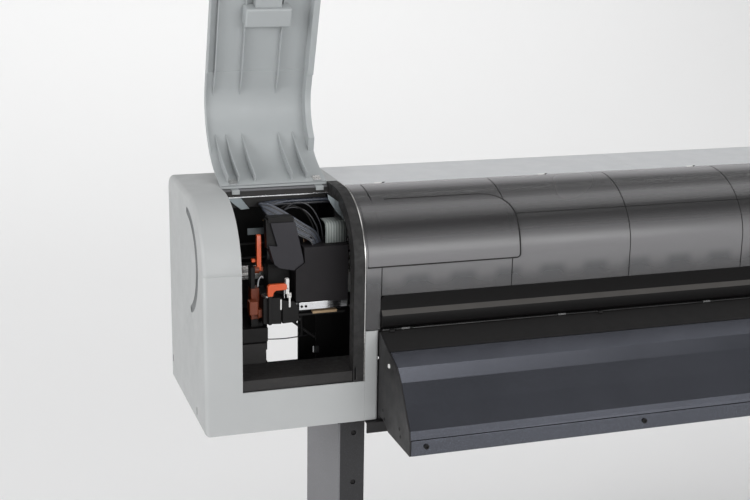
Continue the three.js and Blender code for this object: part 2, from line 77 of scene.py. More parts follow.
def at(x, y, z):
    """A point of the local frame, in the scene's metres."""
    return ORIGIN + Vector((x, y, z)) * MM


def local_box(node):
    """The low and high corners of a CAD node in the local frame."""
    return [(corner - ORIGIN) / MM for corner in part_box(node)]


# ------------------------------------------------------------------ camera
CAMERA_PLACE = (-800.3, -2420.6, 1036.3)
CAMERA_RIGHT = Vector((0.94867, -0.31583, 0.01647))
CAMERA_UP = Vector((0.06597, 0.24853, 0.96637))
CAMERA_LENS = 64.37
CAMERA_REACH = 50


def make_camera():
    data = bpy.data.cameras.new("camera")
    data.lens = CAMERA_LENS
    data.sensor_width = 36
    data.clip_end = CAMERA_REACH
    camera = bpy.data.objects.new("camera", data)
    SCENE.collection.objects.link(camera)
    right = CAMERA_RIGHT.normalized()
    back = right.cross(CAMERA_UP).normalized()
    turn = Matrix((right, back.cross(right), back)).transposed().to_4x4()
    camera.matrix_world = Matrix.Translation(at(*CAMERA_PLACE)) @ turn
    SCENE.camera = camera


# ------------------------------------------------------------------ materials
class Nodes:
    """A short way to build a material's node tree."""

    def __init__(self, name):
        self.material = bpy.data.materials.new(name)
        self.material.use_nodes = True
        self.tree = self.material.node_tree
        self.shader = self.tree.nodes["Principled BSDF"]
        self.coords = self.add("ShaderNodeTexCoord").outputs["Object"]

    def feed(self, node, inputs):
        """Links sockets into a node's inputs, and sets plain values on them."""
        for key, value in inputs.items():
            if isinstance(value, bpy.types.NodeSocket):
                self.tree.links.new(value, node.inputs[key])
            else:
                node.inputs[key].default_value = value

    def add(self, kind, inputs=None, **settings):
        node = self.tree.nodes.new(kind)
        for key, value in settings.items():
            setattr(node, key, value)
        self.feed(node, inputs or {})
        return node

    def finish(self, inputs):
        self.feed(self.shader, inputs)
        return self.material

    def noise(self, scale, detail=3.0, rough=0.55, stretch=None):
        source = self.coords
        if stretch:
            source = self.add("ShaderNodeMapping", {"Vector": source, "Scale": stretch}).outputs["Vector"]
        inputs = {"Vector": source, "Scale": scale, "Detail": detail, "Roughness": rough}
        return self.add("ShaderNodeTexNoise", inputs).outputs["Fac"]

    def span(self, source, low, high, start=0.3, end=0.7, kind="SMOOTHSTEP"):
        inputs = {"Value": source, "From Min": start, "From Max": end, "To Min": low, "To Max": high}
        return self.add("ShaderNodeMapRange", inputs, interpolation_type=kind).outputs["Result"]

    def blend(self, factor, a, b):
        a, b = (v if isinstance(v, bpy.types.NodeSocket) else (*v, 1.0) for v in (a, b))
        return self.add("ShaderNodeMix", {0: factor, 6: a, 7: b}, data_type="RGBA").outputs[2]

    def sum(self, operation, a, b):
        return self.add("ShaderNodeMath", {0: a, 1: b}, operation=operation).outputs[0]

    def part(self, vector, axis):
        return self.add("ShaderNodeSeparateXYZ", {0: vector}).outputs[axis]

    def geometry(self, output):
        return self.add("ShaderNodeNewGeometry").outputs[output]

    def bump(self, height, strength, distance, under=None):
        inputs = {"Height": height, "Strength": strength, "Distance": distance}
        if under:
            inputs["Normal"] = under
        return self.add("ShaderNodeBump", inputs).outputs["Normal"]


def linear(colour):
    """An sRGB colour, 0 to 255, as linear values."""
    parts = (c / 255 for c in colour)
    return tuple(c / 12.92 if c <= 0.04045 else ((c + 0.055) / 1.055) ** 2.4 for c in parts)


def scaled(colour, factor):
    return tuple(min(1, c * factor) for c in colour)


def fill_ramp(ramp, stops):
    elements = ramp.color_ramp.elements
    while len(elements) < len(stops):
        elements.new(0.5)
    for element, (place, colour) in zip(elements, stops):
        element.position = place
        element.color = (*colour, 1)


def plastic(name, colour, rough=0.5, grain=1500, grain_depth=0.12, mottle=0.06, wear=0.15, coat=0.0,
            gloss=0.5):
    """Moulded plastic: fine spark-eroded grain, faint cloudy colour, slightly polished edges."""
    n = Nodes(name)
    colour = linear(colour)
    cloud = n.span(n.noise(9, 4), 0, 1)
    base = n.blend(cloud, scaled(colour, 1 - mottle), scaled(colour, 1 + mottle))
    if wear:
        worn = tuple(min(1, c * 1.25 + 0.01) for c in colour)
        edges = n.span(n.geometry("Pointiness"), 0.0, 1.0, 0.52, 0.6)
        base = n.blend(n.sum("MULTIPLY", edges, wear), base, worn)
    inputs = {"Base Color": base, "Specular IOR Level": gloss,
              "Roughness": n.span(n.noise(30, 4), rough - 0.05, rough + 0.06),
              "Normal": n.bump(n.noise(grain, 2), grain_depth, 0.0002)}
    if coat:
        inputs.update({"Coat Weight": coat, "Coat Roughness": 0.2})
    return n.finish(inputs)


def painted(name, colour, speck, rough=0.42, metallic=0.0, upper=None):
    """Powder coat: orange-peel skin with fine metallic specks; with upper given, a painted sheen makes faces
    that look up paler.
    """
    n = Nodes(name)
    specks = 700
    colour = linear(colour)
    fleck = n.span(n.noise(specks, 1), 0, 1, 0.55, 0.72)
    base = n.blend(n.span(n.noise(3, 1), 0, 1, 0.15, 0.85), scaled(colour, 0.97), scaled(colour, 1.03))
    # painted sheen: faces that look up blend towards the upper colour
    if upper:
        base = n.blend(n.span(n.part(n.geometry("Normal"), "Z"), 0, 1, 0.84, 0.93), base, linear(upper))
    peel = n.bump(n.noise(420, 2), 0.1, 0.0002)
    return n.finish({"Base Color": n.blend(fleck, base, linear(speck)), "Metallic": metallic,
                     "Roughness": n.span(n.noise(8, 1), rough - 0.015, rough + 0.015),
                     "Normal": n.bump(n.noise(specks, 1), 0.08, 0.0001, peel)})


def metal(name, colour, rough=0.3, stretch=(4, 300, 300), depth=0.15):
    """Brushed or drawn metal with its lines along the machine."""
    n = Nodes(name)
    colour = linear(colour)
    lines = n.noise(6, 4, stretch=stretch)
    return n.finish({"Base Color": n.blend(n.span(lines, 0, 1), scaled(colour, 0.86), colour),
                     "Metallic": 1.0, "Roughness": n.span(lines, rough - 0.08, rough + 0.1),
                     "Normal": n.bump(lines, depth, 0.0001)})


def mottled(name, dark, light, rough=0.62, scale=60, depth=0.35):
    """Dark recycled-look plastic with cloudy lighter patches."""
    n = Nodes(name)
    patches = n.span(n.noise(scale, 6, 0.7), 0, 1, 0.4, 0.72)
    streak = n.span(n.noise(14, 4, 0.6, (1, 1, 3)), 0.2, 1.0)
    return n.finish({"Base Color": n.blend(n.sum("MULTIPLY", patches, streak), linear(dark), linear(light)),
                     "Roughness": n.span(n.noise(90, 3), rough - 0.1, rough + 0.1),
                     "Normal": n.bump(n.noise(420, 4), depth, 0.0003)})


COVER_LOW = 192
# tones of the smoked plastic by height are painted light: paler where the lit bay shows through, dark where
# the bend reflects the dim overhead, with painted highlights near the top
SMOKE_PAINTED_LIGHT = ((192, 0.075), (262, 0.075), (282, 0.115), (300, 0.185), (320, 0.205), (338, 0.215),
               (352, 0.175), (366, 0.15), (380, 0.09), (394, 0.035), (406, 0.022), (416, 0.06), (428, 0.14),
               (436, 0.11), (446, 0.03), (452, 0.06), (458, 0.4))
SHADOW_START, SHADOW_PITCH = 108, 99.5
SHADOW_TONE = (0.07, 0.074, 0.078)


def smoked(name, rough, alpha):
    """Smoked frosted plastic with painted light in its colour: a painted glow where the lit bay stands behind
    it, a painted dark reflection over the bend.
    """
    n = Nodes(name)
    ramp = n.add("ShaderNodeValToRGB")
    ramp.color_ramp.interpolation = "B_SPLINE"
    fill_ramp(ramp, [((z - COVER_LOW) / (HEIGHT - COVER_LOW), (tone, tone * 0.985, tone * 1.01))
                     for z, tone in SMOKE_PAINTED_LIGHT])
    height = n.part(n.coords, "Z")
    low, high = ORIGIN.z + COVER_LOW * MM, ORIGIN.z + HEIGHT * MM
    n.feed(ramp, {0: n.span(height, 0, 1, low, high, "LINEAR")})
    # soft shadows of the pinch units that stand behind the lower part
    shift = n.sum("SUBTRACT", n.part(n.coords, "X"), ORIGIN.x + SHADOW_START * MM)
    shade = n.span(n.sum("PINGPONG", shift, SHADOW_PITCH * MM / 2), 0.5, 0, 0.014, 0.042)
    for low, high, ends in ((262, 288, (0, 1)), (292, 314, (1, 0))):
        shade = n.sum("MULTIPLY", shade, n.span(height, *ends, ORIGIN.z + low * MM, ORIGIN.z + high * MM))
    return n.finish({"Base Color": n.blend(shade, ramp.outputs["Color"], SHADOW_TONE), "Alpha": alpha,
                     "Roughness": n.span(n.noise(4, 1), rough - 0.015, rough + 0.015),
                     "Specular IOR Level": 0.32, "Coat Weight": 0.12, "Coat Roughness": 0.22,
                     "Normal": n.bump(n.noise(1500, 1), 0.02, 0.00005)})


def ribbon_material():
    n = Nodes("ribbon_cable")
    inputs = {"Vector": n.coords, "Scale": 55, "Distortion": 0.0}
    wave = n.add("ShaderNodeTexWave", inputs, wave_type="BANDS", bands_direction="X").outputs["Fac"]
    return n.finish({"Base Color": n.blend(wave, linear((106, 112, 110)), linear((150, 155, 152))),
                     "Roughness": 0.42, "Normal": n.bump(wave, 0.5, 0.0008)})


# plastics: colour, roughness, grain, grain depth, mottle
LIGHT_GREY = plastic("light_grey_plastic", (168, 170, 170), 0.5, 1300, 0.1, 0.015)
# a darker grey for the faces cut by the side groove: painted shade in the groove
GROOVE_PAINTED_SHADE = plastic("groove_painted_shade_plastic", (112, 114, 115), 0.6, 1300, 0.1, 0.02)
DOOR_GREY = plastic("door_grey_plastic", (158, 162, 163), 0.46, 1300, 0.08, 0.02)
LID_TOP = plastic("top_cover_plastic", (196, 198, 200), 0.42, 900, 0.08, 0.015)
BLACK = plastic("black_plastic", (20, 19, 19), 0.55, 900, 0.25, 0.1, gloss=0.25)
CHARCOAL = plastic("charcoal_plastic", (50, 49, 53), 0.55, 1100, 0.25, 0.05, gloss=0.25)
CASE_BLACK = plastic("case_plastic", (32, 30, 32), 0.55, 1100, 0.25, 0.05, gloss=0.22)
DARK_SHEET = plastic("dark_sheet", (34, 33, 34), 0.45, 500, 0.2, 0.08, gloss=0.3)
BAND = plastic("band_plastic", (12, 11, 11), 0.42, 800, 0.12, 0.08, wear=0, gloss=0.12)
# a paler plastic laid on the band's lower facet: painted highlight
BAND_PAINTED_HIGHLIGHT = plastic("band_painted_highlight_plastic", (66, 64, 62), 0.4, 800, 0.1, 0.05, wear=0, gloss=0.3)
RUBBER = plastic("wheel_rubber", (38, 37, 37), 0.75, 300, 0.3, 0.15)
ORANGE = plastic("orange_plastic", (214, 84, 30), 0.38, 900, 0.1, 0.05, coat=0.2)
RUST = plastic("shaded_orange_plastic", (116, 50, 20), 0.45, 900, 0.15, 0.15)
TUBE = plastic("tube_plastic", (66, 71, 82), 0.25, 200, 0.05, 0.1, coat=0.5)
DARK_TUBE = plastic("dark_tube", (34, 35, 40), 0.3, 200, 0.05, 0.1, coat=0.4)
WHITE = plastic("white_plastic", (226, 226, 224), 0.45, 900, 0.08, 0.02)
TAN = plastic("tan_plastic", (176, 150, 116), 0.45, 700, 0.1, 0.08)
BOARD = plastic("circuit_board", (38, 78, 52), 0.4, mottle=0.1)
GLASS = plastic("display_glass", (44, 58, 70), 0.12, 200, 0.01, 0.03, wear=0, coat=0.8)
LIT = plastic("display_marks", (150, 196, 214), 0.35, mottle=0.03, wear=0)
BEZEL = mottled("bezel_plastic", (12, 11, 11), (38, 36, 36))
LEDGE = mottled("ledge_plastic", (22, 20, 20), (47, 45, 43), 0.6, 90, 0.3)
SMOKED = smoked("smoked_plastic", 0.26, 0.78)
RIBBON = ribbon_material()
# the apron's upper colour is a painted sheen on the facets that look up
APRON = painted("apron_paint", (92, 94, 101), (114, 118, 129), 0.24, 0.96, upper=(132, 135, 145))
STAND_DARK = painted("stand_dark_paint", (30, 30, 32), (48, 48, 52), 0.52)
STAND_LIGHT = painted("stand_light_paint", (102, 102, 105), (120, 120, 124), 0.5)
ZINC = metal("zinc_steel", (168, 170, 172), 0.35)
SILVER = metal("satin_aluminium", (205, 204, 202), 0.28)
CHROME = metal("bright_steel", (225, 226, 228), 0.14, depth=0.04)
GREY_METAL = metal("grey_steel", (118, 118, 118), 0.45)
BLUE_STEEL = metal("plated_bracket", (136, 144, 147), 0.42, (60, 60, 6), 0.1)
INKS = {"black": (28, 28, 30), "cyan": (36, 150, 196), "magenta": (190, 44, 112), "yellow": (226, 192, 40)}


# ------------------------------------------------------------------ mesh helpers
PLANES = {
    "x": ((0, 1, 0), (0, 0, 1), (1, 0, 0)),
    "y": ((1, 0, 0), (0, 0, 1), (0, 1, 0)),
    "z": ((1, 0, 0), (0, 1, 0), (0, 0, 1)),
}


def new_mesh(name, points, faces, material, place=None):
    """A mesh object from body points in millimetres, with its faces turned outward."""
    mesh = bpy.data.meshes.new(name)
    mesh.from_pydata([at(*p) for p in points], [], faces)
    if place is not None:
        mesh.transform(place)
    mesh.validate()
    obj = bpy.data.objects.new(name, mesh)
    SCENE.collection.objects.link(obj)
    mesh.materials.append(material)
    outward(obj)
    return obj


def outward(obj):
    bm = bmesh.new()
    bm.from_mesh(obj.data)
    bmesh.ops.remove_doubles(bm, verts=bm.verts, dist=1e-7)
    bmesh.ops.recalc_face_normals(bm, faces=bm.faces)
    bm.to_mesh(obj.data)
    bm.free()
    obj.data.shade_smooth()


def bevel(obj, width, segments=2, angle=32):
    if width:
        mod = obj.modifiers.new("bevel", "BEVEL")
        mod.width = width * MM
        mod.segments = segments
        mod.limit_method = "ANGLE"
        mod.angle_limit = math.radians(angle)
        mod.harden_normals = True
        mod.miter_outer = "MITER_ARC"
    return obj


def bake(obj):
    """Turns the modifiers so far into the mesh itself."""
    graph = bpy.context.evaluated_depsgraph_get()
    mesh = bpy.data.meshes.new_from_object(obj.evaluated_get(graph))
    obj.modifiers.clear()
    obj.data = mesh
    return obj


def carve(obj, *tools, how="DIFFERENCE"):
    """Cuts the tools out of a mesh, or joins them on, and takes over their materials."""
    for tool in tools:
        mod = obj.modifiers.new("cut", "BOOLEAN")
        mod.operation = how
        mod.object = tool
        mod.solver = "EXACT"
        mod.material_mode = "TRANSFER"
    bake(obj)
    for tool in tools:
        bpy.data.objects.remove(tool)
    obj.data.shade_smooth()


def done(obj, body, *nodes, slot=None):
    """Rides a finished mesh on its body, in place of CAD nodes where it shows them."""
    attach(obj, body)
    if nodes:
        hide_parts(*nodes)
    return obj


def rect(a0, a1, b0, b1):
    return [(a0, b0), (a1, b0), (a1, b1), (a0, b1)]


def prism_mesh(name, outline, axis, a, b, material, place=None):
    """Carries an outline from a to b along an axis."""
    u, v, w = (Vector(d) for d in PLANES[axis])
    points = [u * p + v * q + w * t for t in (a, b) for p, q in outline]
    n = len(outline)
    faces = [list(range(n))[::-1], list(range(n, 2 * n))]
    faces += [[i, (i + 1) % n, n + (i + 1) % n, n + i] for i in range(n)]
    return new_mesh(name, points, faces, material, place)


def prism(name, outline, axis, a, b, material, body, *nodes, edge=0.6, place=None, segments=2):
    obj = prism_mesh(name, outline, axis, a, b, material, place)
    bevel(obj, edge, segments)
    return done(obj, body, *nodes)


def block_mesh(name, x0, x1, y0, y1, z0, z1, material, place=None):
    return prism_mesh(name, rect(y0, y1, z0, z1), "x", x0, x1, material, place)


def block(name, x0, x1, y0, y1, z0, z1, material, body, *nodes, edge=0.8, place=None, segments=2):
    obj = block_mesh(name, x0, x1, y0, y1, z0, z1, material, place)
    bevel(obj, edge, segments)
    return done(obj, body, *nodes)


def blocks(body, rows):
    """Rows of name, x0, x1, y0, y1, z0, z1, material and edge width, then the CAD node a block replaces."""
    for name, x0, x1, y0, y1, z0, z1, material, edge, *nodes in rows:
        block(name, x0, x1, y0, y1, z0, z1, material, body, *nodes, edge=edge)


def rod_profile(radius, low, high, chamfer=0.6):
    return [(0.01, low), (radius - chamfer, low), (radius, low + chamfer), (radius, high - chamfer),
            (radius - chamfer, high), (0.01, high)]


def lathe_mesh(name, profile, axis, centre, material, steps=48, place=None):
    """Turns (radius, distance) points about an axis through centre."""
    u, v, w = (Vector(d) for d in PLANES[axis])
    c = Vector(centre)
    points = [c + w * h + (u * math.cos(t) + v * math.sin(t)) * r
              for t in (2 * math.pi * i / steps for i in range(steps)) for r, h in profile]
    n = len(profile)
    faces = [[i * n + k, i * n + (k + 1) % n, ((i + 1) % steps) * n + (k + 1) % n, ((i + 1) % steps) * n + k]
             for i in range(steps) for k in range(n)]
    return new_mesh(name, points, faces, material, place)


def lathe(name, profile, axis, centre, material, body, *nodes, steps=48, edge=0.0, place=None):
    obj = lathe_mesh(name, profile, axis, centre, material, steps, place)
    bevel(obj, edge, 2, 40)
    if not edge:
        obj.data.set_sharp_from_angle(angle=math.radians(35))
    return done(obj, body, *nodes)


def smooth_path(points, steps=8):
    """A Catmull-Rom line through the points."""
    p = [Vector(points[0]) * 2 - Vector(points[1]), *map(Vector, points),
         Vector(points[-1]) * 2 - Vector(points[-2])]
    out = []
    for i in range(1, len(p) - 2):
        for k in range(steps):
            t = k / steps
            a, b, c, d = p[i - 1:i + 3]
            out.append(0.5 * (2 * b + (c - a) * t + (2 * a - 5 * b + 4 * c - d) * t ** 2
                              + (3 * b - a - 3 * c + d) * t ** 3))
    return [*out, p[-2]]


def sweep_mesh(name, path, section, material, up=(0, 0, 1)):
    """Carries a closed section (side, up) along a path."""
    rings = []
    side = None
    for i, point in enumerate(path):
        ahead = (path[min(i + 1, len(path) - 1)] - path[max(i - 1, 0)]).normalized()
        if side is None:
            side = ahead.cross(Vector(up)).normalized()
        side = (side - ahead * side.dot(ahead)).normalized()
        over = side.cross(ahead)
        rings.append([point + side * s + over * o for s, o in section])
    n = len(section)
    points = [p for ring in rings for p in ring]
    faces = [[i * n + k, i * n + (k + 1) % n, (i + 1) * n + (k + 1) % n, (i + 1) * n + k]
             for i in range(len(rings) - 1) for k in range(n)]
    faces += [list(range(n))[::-1], list(range(len(points) - n, len(points)))]
    return new_mesh(name, points, faces, material)


def round_section(radius, sides=12):
    return [(radius * math.cos(2 * math.pi * i / sides), radius * math.sin(2 * math.pi * i / sides))
            for i in range(sides)]


def soft_tube(name, path, radius, material, sides=12):
    """A tube along a path, with smooth shading."""
    obj = sweep_mesh(name, path, round_section(radius, sides), material)
    obj.data.shade_smooth()
    return obj


def tube(name, points, radius, material, body):
    obj = sweep_mesh(name, smooth_path(points), round_section(radius), material)
    obj.data.set_sharp_from_angle(angle=math.radians(50))
    return done(obj, body)


SCREW_HEAD = ((0, -1), (1, -1), (1, 0.35), (0.85, 0.55), (0.5, 0.55), (0.45, 0.1), (0, 0.1))


def screw(name, axis, centre, radius, body, way=1, material=ZINC):
    profile = [(max(r, 0.001) * radius, h * radius * way) for r, h in SCREW_HEAD]
    return lathe(name, profile, axis, centre, material, body, steps=24)


# ------------------------------------------------------------------ casing section
def curve(inset, start=0, end=90, steps=28):
    """Points on the casing's quarter-ellipse front edge, from the vertical front to the flat top."""
    out = []
    for i in range(steps + 1):
        a = math.radians(start + (end - start) * i / steps)
        out.append((CURVE_DEPTH - (CURVE_DEPTH - inset) * math.cos(a),
                    CURVE_BASE + (CURVE_HEIGHT - inset) * math.sin(a)))
    return out


def arc(centre, a, b, start, end, steps):
    """Points on an elliptical arc with half axes a and b, its angles in degrees."""
    turns = [math.radians(start + (end - start) * i / steps) for i in range(steps + 1)]
    return [(centre[0] + a * math.cos(t), centre[1] + b * math.sin(t)) for t in turns]


def rear_arc(inset, steps=10):
    r = REAR_RADIUS - inset
    return [(DEPTH - REAR_RADIUS + r * math.sin(a), HEIGHT - REAR_RADIUS + r * math.cos(a))
            for a in (math.radians(90 * i / steps) for i in range(steps + 1))]


PARTING = 0.7


def casing_loop(inset):
    groove = [(inset, CURVE_BASE - PARTING), (inset + PARTING, CURVE_BASE)]
    return [(inset, inset), (inset, DOOR_SILL), *groove, *curve(inset, 0.5), (HINGE_Y + 5, HEIGHT - inset),
            *rear_arc(inset), (DEPTH - inset, inset)]


def grid_faces(rows, columns, keep=lambda r, c: True, closed=False):
    """Quads of a grid of points stored row by row."""
    faces = []
    for r in range(rows - 1):
        for c in range(columns if closed else columns - 1):
            if keep(r, c):
                d = (c + 1) % columns
                faces.append([r * columns + c, r * columns + d, (r + 1) * columns + d, (r + 1) * columns + c])
    return faces


def solidify(obj, thickness, inner_material=None):
    mod = obj.modifiers.new("wall", "SOLIDIFY")
    mod.thickness = thickness * MM
    mod.offset = -1
    mod.use_even_offset = True
    mod.use_quality_normals = True
    if inner_material:
        obj.data.materials.append(inner_material)
        mod.material_offset = 1
        mod.material_offset_rim = 0
    return bake(obj)


END_RADIUS = 10
END_STEPS = 9
SKIN = 3


def end_shell(name, side, inner_edges, open_at):
    """The moulded skin of an end housing.

    inner_edges are distances from its outer face; open_at says which quads are left out.
    """
    sections = []
    for i in range(END_STEPS + 1):
        a = math.radians(90 * i / END_STEPS)
        sections.append((END_RADIUS * (1 - math.cos(a)), END_RADIUS * (1 - math.sin(a))))
    sections += [(x, 0.0) for x in inner_edges]
    outer = -END if side < 0 else SPAN + END
    rows = [[(outer - side * x, y, z) for y, z in casing_loop(inset)] for x, inset in sections]
    count = len(rows[0])
    faces = grid_faces(len(rows), count, lambda r, c: not open_at(rows[r][c], rows[r + 1][(c + 1) % count]),
                       True)
    faces.append(list(range(count)))
    return new_mesh(name, [p for row in rows for p in row], faces, LIGHT_GREY)


def loft(name, rings, material):
    """A closed solid through rings of equally many points."""
    count = len(rings[0])
    faces = grid_faces(len(rings), count, closed=True)
    faces += [list(range(count)), list(range(count * (len(rings) - 1), count * len(rings)))[::-1]]
    return new_mesh(name, [p for ring in rings for p in ring], faces, material)


def section_ring(x, inset, wall, start_z, end_y, crease=None, steps=36):
    """A curved wall's closed section at x, from its lower front edge over the curve to end_y on top."""
    def line(extra):
        points = curve(inset + extra, 0, 90, steps)
        if crease and not extra:
            points = [(y + 0.5, z - 0.4) if abs(z - crease) < 3 else (y, z) for y, z in points]
        return [(inset + extra, start_z), *points, (end_y, HEIGHT - inset - extra)]
    return [(x, y, z) for y, z in line(0) + line(wall)[::-1]]


def mirrored(side, x):
    """A distance from the span's left end, or the same distance from its right end."""
    return x if side == "left" else SPAN - x


def spread(side, a, b):
    return sorted((mirrored(side, a), mirrored(side, b)))


# ------------------------------------------------------------------ housings
def left_housing():
    def open_at(p, q):
        x, y, z = ((a + b) / 2 for a, b in zip(p, q))
        return x > DOOR_LEFT - 1 and z > DOOR_SILL and y < HINGE_Y + 5

    shell = end_shell("left_housing_shell", -1, (END + DOOR_LEFT - 1, END), open_at)
    solidify(shell, SKIN, BLACK)
    back = (DEPTH - 8, DEPTH + 4)
    window = prism_mesh("window", rect(*back, 12, 150), "x", -112, -41, LIGHT_GREY)
    notch = prism_mesh("notch", rect(*back, 16, 42), "x", -123, -111, LIGHT_GREY)
    carve(shell, window, notch)
    side_relief(shell, -END, 1)
    bevel(shell, 0.7, 2, 40)
    done(shell, MACHINE, "left_housing", slot="light_plastic")
    wall = [(330, 70), (7, 70), *curve(7, 0, 85, 20), (330, HEIGHT - 10)]
    prism("bay_left_wall", wall[::-1], "x", DOOR_LEFT - 3, DOOR_LEFT - 1, BLACK, MACHINE, edge=0.4)
    block("bay_floor", DOOR_LEFT, -4, 140, 352, 3.4, 5.6, BLACK, MACHINE)
    rail = [(HINGE_Y + 2, 452), (HINGE_Y + 8, 452), (HINGE_Y + 8, 457.6), (HINGE_Y + 1, 457.6),
            (HINGE_Y + 1, 453)]
    prism("hinge_rail", rail, "x", DOOR_LEFT - 1, -25, DOOR_GREY, MACHINE, edge=0.8)
    block("bay_lintel", DOOR_LEFT - 1, -25, HINGE_Y + 3, HINGE_Y + 7, 412, 452, LEDGE, MACHINE)
    block("hinge_channel", DOOR_LEFT, -25, 189, HINGE_Y + 2, 442, 451.5, STAND_LIGHT, MACHINE, edge=0.8)
    for x in (-220, -43):
        bracket = [(183, 443), (199, 443), (199, 459.4), (198, 459.4), (198, 451.8), (183, 451.8)]
        prism(f"hinge_clip_{-x}", bracket, "x", x - 8, x + 8, DOOR_GREY, MACHINE, edge=1)


GROOVE_CENTRE, GROOVE_RADIUS, GROOVE_TOOL, GROOVE_DEPTH, GROOVE_PAD = (157, 323), 101, 12, 6, 15


def groove_arc(radius, start=-72, end=88, steps=48):
    cy, cz = GROOVE_CENTRE
    turns = [math.radians(start + (end - start) * i / steps) for i in range(steps + 1)]
    return [(cy - radius * math.cos(t), cz + radius * math.sin(t)) for t in turns]


def side_relief(shell, face, way):
    """A crescent groove on a thicker strip of the wall, its cut faces in a darker grey as painted shade, and
    the small slots of an outer side face.
    """
    strip = groove_arc(GROOVE_RADIUS - GROOVE_PAD, -80, 96) + groove_arc(GROOVE_RADIUS + GROOVE_PAD, -80,
                                                                         96)[::-1]
    pad = prism_mesh("groove_pad", strip, "x", *sorted((face + way, face + 10 * way)), LIGHT_GREY)
    carve(shell, pad, how="UNION")
    path = []
    for i, (y, z) in enumerate(groove_arc(GROOVE_RADIUS)):
        depth = GROOVE_DEPTH * max(0.02, math.sin(math.pi * i / 48)) ** 0.3
        path.append(Vector((face - way * (GROOVE_TOOL - depth), y, z)))
    # the groove's cut faces take the darker grey, painted shade in the groove
    tools = [sweep_mesh("groove_tool", path, round_section(GROOVE_TOOL, 40), GROOVE_PAINTED_SHADE, (1, 0, 0))]
    deep = sorted((face - 2 * way, face + 6 * way))
    for y, z in ((344, 49), (82, 25)):
        tools.append(prism_mesh("slot_tool", rect(y - 2, y + 2, z - 8, z + 8), "x", *deep, BLACK))
    carve(shell, *tools)


def right_housing():
    low, high = local_box("ink_cartridge_black")
    x0, x1 = low.x, local_box("ink_cartridge_yellow")[1].x
    z0, z1 = low.z, high.z
    shell = end_shell("right_housing_shell", 1, (END,), lambda p, q: False)
    solidify(shell, SKIN, BLACK)
    carve(shell, prism_mesh("mouth", rect(x0 - 9, x1 + 9, z0 - 8, z1 + 8), "y", -3, 8, LIGHT_GREY))
    side_relief(shell, SPAN + END, -1)
    bevel(shell, 0.7, 2, 40)
    done(shell, MACHINE, "right_housing", slot="light_plastic")

    liner = prism_mesh("ink_bay", rect(x0 - 8.6, x1 + 8.6, z0 - 7.6, z1 + 7.6), "y", 1.2, 205, BLACK)
    tools = []
    for ink in INKS:
        a, b = local_box(f"ink_cartridge_{ink}")
        tools.append(prism_mesh("slot_tool", rect(a.x - 1, b.x + 1, z0 - 1, z1 + 1), "y", -5, 200, BLACK))
    carve(liner, *tools)
    bevel(liner, 0.8, 2, 40)
    done(liner, MACHINE)


def cartridges():
    for ink, colour in INKS.items():
        node = f"ink_cartridge_{ink}"
        a, b = local_box(node)
        label = plastic(f"{ink}_label", colour, 0.4, 900, 0.06, 0.04)
        block(f"{ink}_cartridge_case", a.x, b.x, a.y + 12, b.y, a.z, b.z, BLACK, node, node, edge=2.5,
              segments=3)
        grip = rect(a.x + 8, b.x - 8, a.z + 20, b.z - 20)
        prism(f"{ink}_cartridge_grip", grip, "y", a.y, a.y + 12.2, CHARCOAL, node, edge=3)
        for k in range(5):
            z = a.z + 36 + 19.5 * k
            block(f"{ink}_grip_ridge_{k}", a.x + 11, b.x - 11, a.y - 0.01, a.y + 3, z - 2, z + 2, BLACK,
                  node, edge=0.9)
        tag = rect(a.x + 9, b.x - 9, b.z - 15, b.z - 6)
        prism(f"{ink}_colour_tag", tag, "y", a.y + 11.2, a.y + 12.6, label, node, edge=0.5)


def bezel():
    def arch(inset, wall):
        low, back = DOOR_SILL + 0.4, HINGE_Y + 4
        outer = [(inset, low), (inset, CURVE_BASE - 0.6), *curve(inset, 1), (back, HEIGHT - inset)]
        inner = [(wall, low), *curve(wall), (back, HEIGHT - wall)]
        return outer + inner[::-1]

    frame_piece = prism_mesh("door_frame_arch", arch(0, 28), "x", -24.5, -2.5, BEZEL)
    carve(frame_piece, prism_mesh("slot_tool", rect(-21.5, -18.5, 90, 116), "y", -2, 5, BEZEL))
    bevel(frame_piece, 1.2, 3, 40)
    done(frame_piece, MACHINE, "left_bezel", slot="black_plastic")
    prism("arch_trim", arch(-0.4, 4), "x", -2.3, -0.3, SILVER, MACHINE, edge=0.3)
    block("arch_trim_tab", -2.9, -0.3, -1.4, 2, 168, 192, SILVER, MACHINE, edge=0.5)


DOOR_STEP = 294
SHELF_TOP = 109


